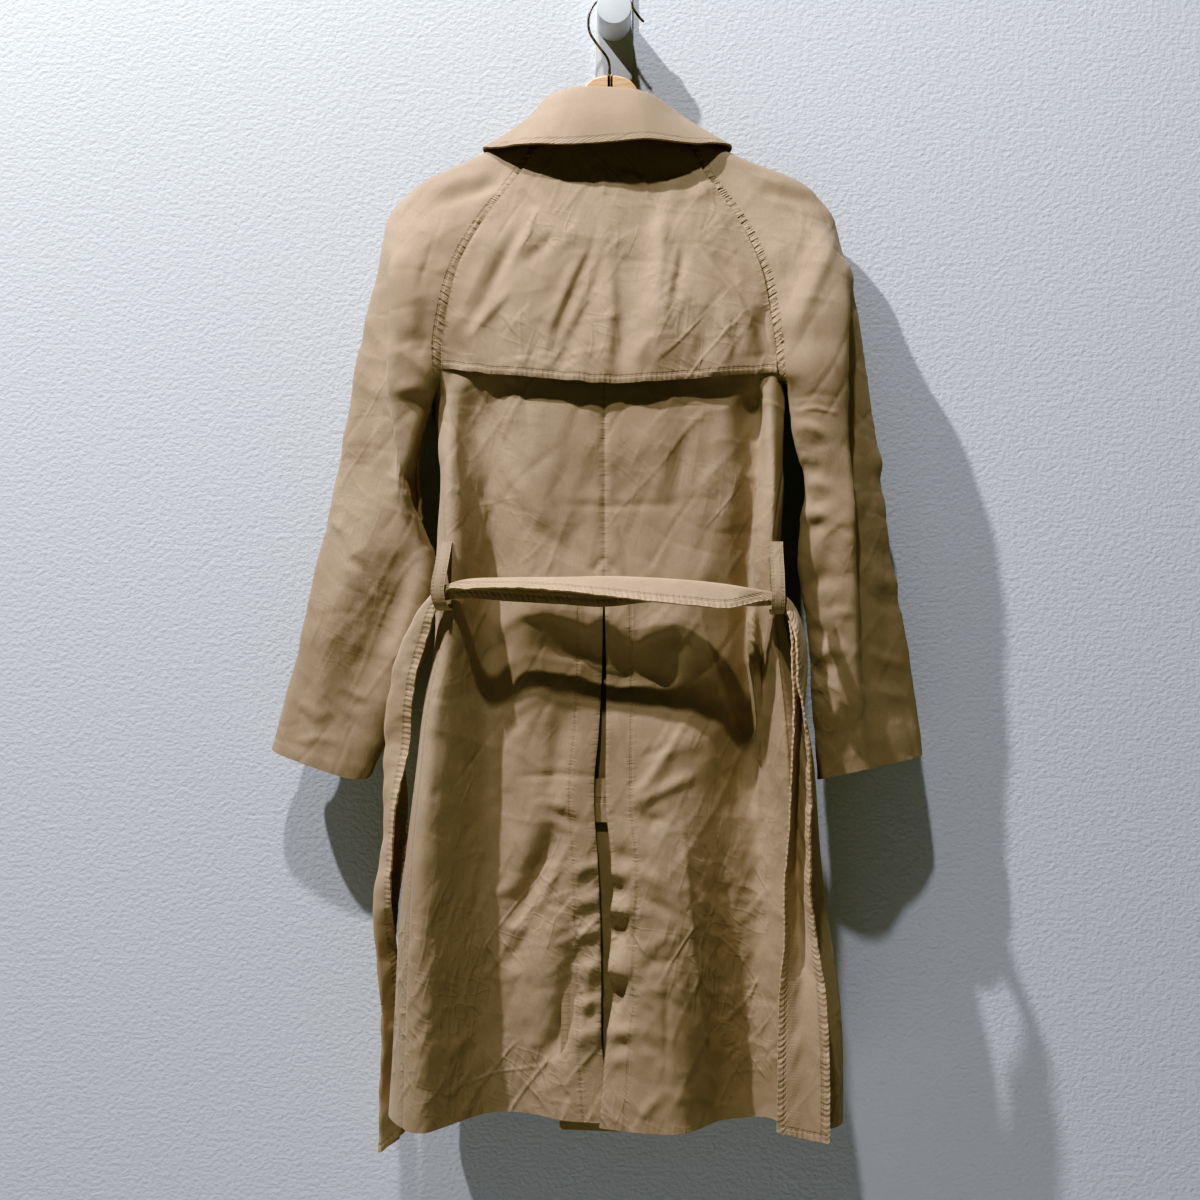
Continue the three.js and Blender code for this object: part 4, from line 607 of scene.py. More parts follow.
def crease(p, lines):
    """Height of the listed folds at points p: each is a line with a width, a height and a steeper side."""
    px, py = picture(p)
    out = np.zeros(px.shape)
    for width, height, skew, pts in lines:
        lo, hi = pts.min(0) - 4 * width, pts.max(0) + 4 * width
        near = (px > lo[0]) & (px < hi[0]) & (py > lo[1]) & (py < hi[1])
        if not near.any():
            continue
        x, y = px[near], py[near]
        seg = np.diff(pts, axis=0)
        lens = np.linalg.norm(seg, axis=1)
        total = lens.sum()
        best = np.full(x.shape, 1e9)
        side = np.zeros(x.shape)
        along = np.zeros(x.shape)
        run = 0.0
        for a, s, n in zip(pts[:-1], seg, lens):
            t = ((x - a[0]) * s[0] + (y - a[1]) * s[1]) / (n * n)
            tc = np.clip(t, 0, 1)
            dx, dy = x - a[0] - tc * s[0], y - a[1] - tc * s[1]
            d = np.hypot(dx, dy)
            closer = d < best
            best = np.where(closer, d, best)
            side = np.where(closer, np.sign(s[0] * dy - s[1] * dx), side)
            along = np.where(closer, (run + tc * n) / total, along)
            run += n
        reach = width * (1 + skew * side)
        taper = np.clip(np.sin(np.pi * np.clip(along, 0.02, 0.98)), 0, 1) ** 0.6
        out[near] += height * taper * np.exp(-((best / reach) ** 2))
    return out


# width, height, skew, then points as column,row of the front view
FLAP_FOLDS = strokes("""
28 -5.2 0  590,236 582,285 574,330 564,372
5 1.6 0  600,250 586,290 568,330 552,364
6 2.6 0.4  586,250 564,296 545,345
10 2.6 0.3  609,258 612,310 607,368
24 -4.6 0  642,180 638,260 630,320 620,378
8 2.6 0  661,215 660,270 652,335
5 1.6 0.3  680,238 671,285 660,332
7 -1.8 0  676,236 682,262 674,300
5 2.0 0.3  694,243 716,272 736,297 752,332
8 -2.0 0  712,252 726,268 740,284
7 -2.2 0  556,236 540,250 524,266
7 -2.2 0  523,226 503,260 475,322
7 -1.8 0  515,250 503,275 491,302
5 1.6 0  531,228 512,262 490,296
5 1.5 0.2  512,292 488,318 466,342
14 -2.8 0  446,322 452,348 458,372
12 -3.4 0  764,305 767,340 762,370
12 1.8 0  700,350 715,370 730,385
14 2.0 0  470,250 478,290 486,330
6 1.4 0  538,368 545,350 556,335
6 1.4 0  652,336 642,350 634,366
8 -1.6 0  690,300 700,330 704,362
6 1.4 0  724,366 728,340 722,310
5 1.2 0  470,215 486,190 500,176
6 -1.4 0  520,190 530,205 540,212
6 1.2 0  690,200 705,190 722,190
5 1.1 0  620,180 632,176 645,186
""")
HOLLOW = strokes("""
12 3.6 -0.5  494,642 504,626 520,616 545,611 570,618 588,628 596,620 606,618 622,632 636,642 655,632 676,624 700,648 722,678 738,708
27 -9.6 0  506,672 540,654 585,656 625,676 665,682 700,706 722,734
""")
BACK_FOLDS = strokes("""
4 -0.7 0  560,505 620,506 684,504
14 -3.0 0  463,410 468,480 478,560 484,590
16 -3.4 0  750,388 748,430 750,478
8 2.4 0  765,395 758,480 753,560 750,592
5 -1.0 0  604,384 604,470 604,556
22 1.6 0  540,400 545,470 555,560
20 1.4 0  660,400 655,470 650,560
4 -1.4 0  604,556 592,574
4 -1.4 0  604,556 616,574
10 -1.6 0  520,520 560,545 590,560
10 1.4 0  510,470 530,500 545,530
8 -1.3 0  690,420 680,470 672,520
6 3.0 0  748,606 755,660 763,716 757,750
20 -3.4 0  742,690 743,760 742,820
3 -0.9 0  516,777 555,775 597,776
5 -0.8 0.4  546,808 562,816 580,823
6 1.2 0  546,800 564,806 580,815
15 -8.2 -0.2  557,822 542,858 526,896 512,930
8 3.0 0.3  566,842 552,878 528,924
9 -3.0 -0.3  540,905 522,943 505,970
12 1.6 0  549,905 545,950 541,990
14 -8.2 -0.2  576,945 569,1000 560,1035 545,1065
9 3.0 0.3  590,955 584,1010 574,1055
12 -3.6 -0.2  564,700 558,745 552,795
8 1.6 0  545,688 532,702 519,718
7 -1.3 0  536,700 526,712 516,724
9 2.6 0.3  570,874 588,868 606,862
7 -1.3 0  577,882 588,878 600,872
9 2.4 0.3  570,905 588,900 606,894
7 -1.3 0  577,916 588,912 600,906
9 2.8 0.3  570,938 589,932 606,926
7 -1.3 0  578,948 589,944 600,938
9 2.4 0.3  570,974 589,968 606,962
9 2.8 0.3  570,1008 589,1003 606,998
7 -1.4 0  578,1018 589,1014 600,1008
9 2.8 0.3  570,1038 589,1033 606,1028
9 -2.0 0  613,848 622,856 631,866
12 -4.6 0.2  600,890 616,893 630,896
8 2.4 -0.2  602,872 616,873 632,876
16 -8.0 0.2  602,930 616,932 628,934
9 3.2 -0.4  600,907 616,909 634,914
18 -9.0 0.2  602,996 614,997 624,1000
9 3.4 -0.4  600,970 614,971 632,976
9 3.0 0.3  604,1036 620,1032 640,1030
7 -1.4 0  612,1046 622,1044 632,1042
7 1.5 0  610,1062 622,1060 632,1056
7 2.6 0.3  634,802 656,770 684,730
6 2.2 0  634,805 664,790 696,774
6 -1.3 0  634,812 650,820 668,822
6 1.4 0  636,866 648,876 662,888
6 -1.3 0  640,896 660,906 680,918
7 1.4 0  692,888 706,902 726,922
7 1.3 0  640,952 662,940 684,936
6 -1.3 0  638,970 660,962 684,960
6 1.3 0  636,992 652,990 668,992
4 1.4 0.3  682,814 688,880 694,950 702,1012 712,1110
4 -1.2 0  667,984 667,1030 666,1088
6 1.6 0  662,1095 650,1106 638,1120
6 -1.3 0  640,1040 654,1050 668,1066
18 1.4 0  680,640 690,700 694,760
14 1.2 0  520,620 524,660 526,690
12 -2.4 0  484,610 488,700 490,800
10 1.2 0  620,700 640,690 660,684
14 -1.6 0  722,860 726,940 722,1040
6 1.2 0  434,1030 448,1056 470,1030
6 1.1 0  516,884 500,892 494,900
""")
SLEEVE_FOLDS = strokes("""
12 -2.6 0  418,296 426,324 434,354
10 -2.0 0  398,345 410,342 426,350
8 2.4 0  394,392 415,387 436,394
6 1.3 0  420,360 430,378 438,394
14 -1.4 0  428,243 436,256 440,270
8 -2.4 0  426,205 450,198 478,189 502,178
8 1.6 0  430,192 455,183 492,170
7 -1.4 0  470,196 486,186 500,186
26 -9.0 0.1  404,490 406,540 400,580 390,620 374,655 358,700
13 -9.5 0  440,408 434,440 428,478 433,512 440,550
10 3.6 0  424,404 412,440 400,478 412,510
16 3.2 0  370,510 352,565 338,610 330,660 326,720
8 2.2 0  398,482 406,505 418,525 430,546
8 -2.2 0  412,470 420,500 430,520
8 1.8 0  420,560 412,600 400,640 388,672
5 1.3 0  344,562 356,574 366,600
6 -1.6 0  350,556 364,572 374,596
8 1.4 0  322,604 312,640 306,690
6 1.2 0  300,700 318,716 334,712
6 -1.2 0  338,690 352,705 370,704
5 1.0 0  296,742 315,738 340,742
5 1.0 0  330,520 344,530 352,545
12 2.73 0.35 838,222 824,262 803,310 786,350
16 -1.61 0 814,232 798,275 780,312
8 -2.2 0  760,190 784,197 812,206
8 1.6 0  758,177 790,187 818,196
6 -1.4 0  774,205 796,214 812,226
3 0.50 0 798,300 816,297 836,302
3 -0.56 0 794,399 815,394 840,397
3 0.9 0  792,412 815,408 840,414
6 1.36 0 794,431 808,426 826,435
8 -1.24 0 798,445 812,448 826,446
7 -1.24 0 800,462 812,470 824,466
6 1.36 0 805,487 817,483 832,489
6 -0.99 0 806,500 818,502 830,500
6 1.49 0 804,513 815,517 828,512
8 -2.73 0 806,525 815,527 825,522
8 -1.49 0 838,532 827,560 818,592
9 -1.86 0 800,592 820,580 844,575
6 1.36 0 824,619 838,613 856,614
8 -1.98 0 806,628 826,634 848,636
6 1.24 0 814,656 832,650 852,652
8 -1.49 0 812,671 826,668 844,664
6 0.99 0 812,690 828,686 846,690
8 -1.61 0 799,604 806,645 816,690
4 0.62 0 839,560 839,660 841,778
8 0.99 0 856,300 856,420 860,540
10 1.6 0  872,300 880,420 886,560
12 -1.8 0  880,480 890,600 898,700
8 1.8 0  868,452 884,466 904,478
8 -1.8 0  870,470 886,486 904,494
8 1.6 0  866,560 884,580 908,588
8 -1.6 0  868,590 886,604 908,606
6 1.4 0  868,650 886,660 906,664
6 1.2 0  870,685 888,694 908,698
10 1.4 0  330,600 322,680 316,745
""")

# ------------------------------------------------------------------ meshes
def scatter(seed, text):
    """Short creases strewn over patches: x0 x1 y0 y1, leaning angle0 angle1, count, length0 length1, width, height."""
    rng = np.random.default_rng(seed)
    out = []
    for line in text.strip().split("\n"):
        x0, x1, y0, y1, a0, a1, count, l0, l1, wide, tall = (float(v) for v in line.split())
        for _ in range(int(count)):
            x, y = rng.uniform(x0, x1), rng.uniform(y0, y1)
            a = math.radians(rng.uniform(a0, a1))
            n = rng.uniform(l0, l1) * rng.uniform(0.6, 1.0)
            bend = rng.uniform(-0.16, 0.16) * n
            d, side = np.array([math.cos(a), math.sin(a)]), np.array([-math.sin(a), math.cos(a)])
            pts = np.array([np.array([x, y]) + d * n * (k - 0.5) + side * bend * (1 - (2 * k - 1) ** 2) for k in (0, 0.25, 0.5, 0.75, 1)])
            height = tall * rng.uniform(0.35, 1.0) * (1 if rng.random() < 0.55 else -1)
            out.append((wide * rng.uniform(0.8, 1.3), height, rng.uniform(-0.45, 0.45), pts))
    return out


FLAP_SMALL = scatter(3, """
  450 760 195 370   65 128   18  22 60  5.4  1.6
  470 740 215 370   24  56    4  14 26  4.6  0.8
  450 760 200 378    0 180   14   8 20  3.2  0.6
""")
BACK_SMALL = scatter(5, """
  465 750 405 580   95 140   12  30 90  5.0  1.1
  465 750 405 580   40  80   10  30 80  5.0  1.0
  465 750 400 590    0 180   26   8 22  3.4  0.6
  495 575 640 1110 112 150   22  14 38  5.0  2.0
  495 572 700 840    0  24   12  18 40  4.0  1.3
  488 576 930 1120   0 180   34   8 20  3.4  1.0
  400 486 760 1120  70 125   20  20 60  4.6  1.6
  400 486 950 1120   0 180   24   8 24  3.4  1.0
  634 748 850 1115  36  66   36  22 68  4.4  2.2
  636 705 700 860  -56 -18   12  18 46  4.4  1.8
  634 800 930 1120   0 180   50   9 30  3.2  1.2
  755 810 760 1110  55 120   14  20 50  4.6  1.5
""")
SLEEVE_SMALL = scatter(7, """
  395 440 215 400   60 140   12  14 36  4.2  1.3
  400 480 175 240   -5  40    8  14 36  4.2  1.2
  762 830 215 400   60 140   10  14 36  4.2  1.2
  740 815 170 240    0  50    8  14 36  4.2  1.2
  285 430 430 770   75 135   26  18 50  4.6  1.6
  285 430 430 775    0 180   40   8 22  3.4  1.0
  800 930 420 770   20  75   24  16 44  4.6  1.7
  800 930 420 770   95 140   10  16 44  4.6  1.4
  800 930 420 775    0 180   40   8 22  3.4  1.1
""")


def worn(p):
    """How crumpled the cloth is: little on the shoulders, more on the flap and the lower skirt."""
    x, z = p[..., 0], p[..., 2]
    low = smooth(-z, 820, 960)
    flap = smooth(-z, 170, 240) * (1 - smooth(-z, 385, 410)) * (1 - smooth(np.abs(x + 10), 130, 190))
    arms = smooth(np.abs(x + 10), 190, 215) * smooth(-z, 330, 480)
    return 0.3 + 0.5 * low + 0.45 * flap + 0.35 * arms


def grid_normals(p, flip):
    du = np.gradient(p, axis=1)
    dv = np.gradient(p, axis=0)
    n = np.cross(du, -dv)
    n /= np.maximum(np.linalg.norm(n, axis=-1, keepdims=True), 1e-9)
    return -n if flip else n


def facing(fn, q, z, q0, q1, flip):
    """Outward normals of the form itself, from small steps along each level and down it."""
    e = 0.01
    qa, qb = np.clip(q - e, q0, q1 - 2 * e), np.clip(q + e, q0 + 2 * e, q1)
    du = world(fn(qb, z)) - world(fn(qa, z))
    mid = (qa + qb) / 2
    dv = world(fn(mid, z - 0.9)) - world(fn(mid, z + 0.9))
    n = np.cross(du, -dv)
    n /= np.maximum(np.linalg.norm(n, axis=-1, keepdims=True), 1e-9)
    return -n if flip else n


def make_object(name, verts, faces, attrs=None, uv=None, material=None, sharp=40):
    mesh = bpy.data.meshes.new(name)
    verts = np.asarray(verts, float) / 1000.0
    faces = np.asarray(faces, int)
    mesh.vertices.add(len(verts))
    mesh.vertices.foreach_set("co", verts.ravel())
    k = faces.shape[1]
    mesh.loops.add(faces.size)
    mesh.loops.foreach_set("vertex_index", faces.ravel())
    mesh.polygons.add(len(faces))
    mesh.polygons.foreach_set("loop_start", np.arange(0, faces.size, k))
    mesh.polygons.foreach_set("loop_total", np.full(len(faces), k))
    mesh.update(calc_edges=True)
    if uv is not None:
        layer = mesh.uv_layers.new(name="weave")
        layer.data.foreach_set("uv", (np.asarray(uv, float)[faces.ravel()] / 1000.0).ravel())
    for key, values in (attrs or {}).items():
        a = mesh.attributes.new(key, "FLOAT", "POINT")
        a.data.foreach_set("value", np.asarray(values, float).ravel())
    mesh.polygons.foreach_set("use_smooth", np.ones(len(faces), bool))
    mesh.validate()
    mesh.set_sharp_from_angle(angle=math.radians(sharp))
    obj = bpy.data.objects.new(name, mesh)
    bpy.context.scene.collection.objects.link(obj)
    if material:
        mesh.materials.append(material)
    return obj


def shell(name, p, normal, thickness, attrs, uv, material, centred=False):
    """A closed wall from a grid p[row, col] of outer points and its outward normals."""
    rows, cols = p.shape[:2]
    n = rows * cols
    out = thickness / 2 if centred else 0.0
    outer = (p + normal * out).reshape(-1, 3)
    inner = (p + normal * (out - thickness)).reshape(-1, 3)
    idx = np.arange(n).reshape(rows, cols)
    a, b, c, d = idx[:-1, :-1].ravel(), idx[:-1, 1:].ravel(), idx[1:, 1:].ravel(), idx[1:, :-1].ravel()
    # the outward side is the one the normals are on
    test = np.cross(p[1, 0] - p[0, 0], p[0, 1] - p[0, 0])
    mid_r, mid_c = rows // 2, cols // 2
    test = np.cross(p[mid_r + 1, mid_c] - p[mid_r, mid_c], p[mid_r, mid_c + 1] - p[mid_r, mid_c])
    down_first = np.dot(test, normal[mid_r, mid_c]) > 0
    front = np.stack([a, d, c, b] if down_first else [a, b, c, d], axis=1)
    back = front[:, ::-1] + n
    loop = np.concatenate([idx[0, :], idx[1:, -1], idx[-1, -2::-1], idx[-2:0:-1, 0]])
    nxt = np.roll(loop, -1)
    rim = np.stack([loop, nxt, nxt + n, loop + n], axis=1)
    if not down_first:
        rim = rim[:, ::-1]
    faces = np.concatenate([front, back, rim])
    two = {k: np.concatenate([v.ravel(), v.ravel()]) for k, v in attrs.items()}
    two["inner"] = np.concatenate([np.zeros(n), np.ones(n)])
    uvs = np.concatenate([uv.reshape(-1, 2)] * 2)
    return make_object(name, np.concatenate([outer, inner]), faces, two, uvs, material)


def stops(length, spacing, edge=(0.9, 2.2)):
    """Fractions from 0 to 1 with two close steps at either end."""
    count = max(int(math.ceil((length - 2 * edge[1]) / spacing)), 2)
    mid = np.linspace(edge[1] / length, 1 - edge[1] / length, count + 1)
    return np.concatenate([[0, edge[0] / length], mid, [1 - edge[0] / length, 1]])


def levels(top, bottom, spacing, extra=()):
    f = stops(abs(bottom - top), spacing)
    z = top + (bottom - top) * f
    return np.unique(np.concatenate([z, np.asarray(extra, float)]))[::-1]


def lay(fn, z, q0, q1, spacing):
    """Spreads columns evenly over each level from q0 to q1. Returns q, arc from q0 and each row's length."""
    m = 240
    t = np.linspace(0, 1, m)
    q = q0[:, None] + (q1 - q0)[:, None] * t[None, :]
    zz = np.broadcast_to(z[:, None], q.shape)
    p = world(fn(q, zz))
    arc = np.concatenate([np.zeros((len(z), 1)), np.cumsum(np.linalg.norm(np.diff(p, axis=1), axis=-1), axis=1)], axis=1)
    length = arc[:, -1]
    f = stops(float(length.max()), spacing)
    qq = np.empty((len(z), len(f)))
    for r in range(len(z)):
        qq[r] = np.interp(f * length[r], arc[r], q[r])
    return qq, f[None, :] * length[:, None], length


def arcs_down(p):
    step = np.linalg.norm(np.diff(p, axis=0), axis=-1)
    run = np.concatenate([np.zeros((1, p.shape[1])), np.cumsum(step, axis=0)], axis=0)
    return run


def edge_roll(arc, length, first, last, depth=0.7, reach=1.8):
    out = np.zeros(arc.shape)
    if first:
        out -= depth * np.exp(-((arc / reach) ** 2))
    if last:
        out -= depth * np.exp(-(((length - arc) / reach) ** 2))
    return out


def panel(name, fn, z, q0, q1, spacing, material, folds, flip, roll=(True, True), bump=None, side_edge=None):
    q, arc, length = lay(fn, z, q0, q1, spacing)
    zz = np.broadcast_to(z[:, None], q.shape)
    p = world(fn(q, zz))
    n = facing(fn, q, zz, q0[:, None], q1[:, None], flip)
    # next to a step in the outline the columns shear, so the form's own normals stand there
    shear = np.abs(np.diff(q, axis=0)) > 0.12
    shear = np.pad(shear, ((1, 0), (0, 0))) | np.pad(shear, ((0, 1), (0, 0)))
    form = n
    h = folds(p) if folds else 0.0
    if side_edge is not None:
        # folds die out at the side seam, where the neighbouring panel meets this one
        quiet = arc if side_edge == 0 else length[:, None] - arc
        h = h * smooth(quiet, 0.0, 14.0)
    if bump is not None:
        h = h + bump(q, zz, arc, length[:, None])
    h = h + edge_roll(arc, length[:, None], *roll)
    p = p + n * np.asarray(h)[..., None]
    n = np.where(shear[..., None], form, grid_normals(p, flip))
    down = arcs_down(p)
    attrs = {
        "e0": arc, "e1": length[:, None] - arc,
        "eb": down[-1][None, :] - down, "et": down, "wr": worn(p),
    }
    uv = np.stack([arc, down.mean(axis=1, keepdims=True) + 0 * arc], axis=-1)
    return shell(name, p, n, CLOTH, attrs, uv, material), (q, zz, p, n)


# ------------------------------------------------------------------ materials
class Graph:
    """Short names for shader nodes."""

    def __init__(self, name):
        self.mat = bpy.data.materials.new(name)
        self.mat.use_nodes = True
        self.nt = self.mat.node_tree
        self.nt.nodes.clear()
        self.out = self.nt.nodes.new("ShaderNodeOutputMaterial")
        self.bsdf = self.nt.nodes.new("ShaderNodeBsdfPrincipled")
        self.link(self.bsdf.outputs[0], self.out.inputs["Surface"])

    def link(self, a, b):
        self.nt.links.new(a, b)

    def put(self, socket, value):
        if isinstance(value, (int, float)):
            socket.default_value = value
        elif isinstance(value, (tuple, list)):
            socket.default_value = value
        else:
            self.link(value, socket)

    def attr(self, name):
        n = self.nt.nodes.new("ShaderNodeAttribute")
        n.attribute_name = name
        return n.outputs["Fac"]

    def uv(self, scale=(1, 1, 1)):
        n = self.nt.nodes.new("ShaderNodeUVMap")
        n.uv_map = "weave"
        m = self.nt.nodes.new("ShaderNodeMapping")
        m.inputs["Scale"].default_value = scale
        self.link(n.outputs[0], m.inputs["Vector"])
        return m.outputs[0]

    def space(self, scale=(1, 1, 1), rotate=(0, 0, 0)):
        n = self.nt.nodes.new("ShaderNodeTexCoord")
        m = self.nt.nodes.new("ShaderNodeMapping")
        m.inputs["Scale"].default_value = scale
        m.inputs["Rotation"].default_value = rotate
        self.link(n.outputs["Object"], m.inputs["Vector"])
        return m.outputs[0]

    def lean(self, angle, stretch):
        """Object coordinates turned about the depth axis, then drawn out along their own length."""
        tc = self.nt.nodes.new("ShaderNodeTexCoord")
        m = self.nt.nodes.new("ShaderNodeMapping")
        m.vector_type = "TEXTURE"
        m.inputs["Rotation"].default_value = (0, angle, 0)
        m.inputs["Scale"].default_value = (1, 1, 1 / stretch)
        self.link(tc.outputs["Object"], m.inputs["Vector"])
        return m.outputs[0]

    def math(self, op, a, b=0.0, c=0.0, clamp=False):
        n = self.nt.nodes.new("ShaderNodeMath")
        n.operation = op
        n.use_clamp = clamp
        self.put(n.inputs[0], a)
        self.put(n.inputs[1], b)
        self.put(n.inputs[2], c)
        return n.outputs[0]

    def add(self, a, b):
        return self.math("ADD", a, b)

    def mul(self, a, b):
        return self.math("MULTIPLY", a, b)

    def step(self, x, lo, hi, a=0.0, b=1.0):
        n = self.nt.nodes.new("ShaderNodeMapRange")
        n.interpolation_type = "SMOOTHSTEP"
        self.put(n.inputs["Value"], x)
        n.inputs["From Min"].default_value = lo
        n.inputs["From Max"].default_value = hi
        n.inputs["To Min"].default_value = a
        n.inputs["To Max"].default_value = b
        return n.outputs[0]

    def noise(self, vec, scale, detail=2.0, rough=0.5, distort=0.0):
        n = self.nt.nodes.new("ShaderNodeTexNoise")
        n.inputs["Scale"].default_value = scale
        n.inputs["Detail"].default_value = detail
        n.inputs["Roughness"].default_value = rough
        n.inputs["Distortion"].default_value = distort
        self.link(vec, n.inputs["Vector"])
        return n.outputs["Fac"]

    def wave(self, vec, scale, distort=0.0, detail=1.0, kind="BANDS", direction="X"):
        n = self.nt.nodes.new("ShaderNodeTexWave")
        n.wave_type = kind
        n.bands_direction = direction
        n.inputs["Scale"].default_value = scale
        n.inputs["Distortion"].default_value = distort
        n.inputs["Detail"].default_value = detail
        self.link(vec, n.inputs["Vector"])
        return n.outputs["Fac"]

    def mix(self, fac, a, b):
        n = self.nt.nodes.new("ShaderNodeMix")
        n.data_type = "RGBA"
        self.put(n.inputs["Factor"], fac)
        self.put(n.inputs[6], a if not isinstance(a, tuple) else (*a[:3], 1.0))
        self.put(n.inputs[7], b if not isinstance(b, tuple) else (*b[:3], 1.0))
        return n.outputs[2]

    def bump(self, height, strength=1.0, distance=0.001):
        n = self.nt.nodes.new("ShaderNodeBump")
        n.inputs["Strength"].default_value = strength
        n.inputs["Distance"].default_value = distance
        self.link(height, n.inputs["Height"])
        self.link(n.outputs["Normal"], self.bsdf.inputs["Normal"])

    def vec(self, x, y, z=0.0):
        n = self.nt.nodes.new("ShaderNodeCombineXYZ")
        self.put(n.inputs[0], x)
        self.put(n.inputs[1], y)
        self.put(n.inputs[2], z)
        return n.outputs[0]

    def set(self, name, value):
        self.put(self.bsdf.inputs[name], value)


KHAKI = (0.356, 0.279, 0.212)


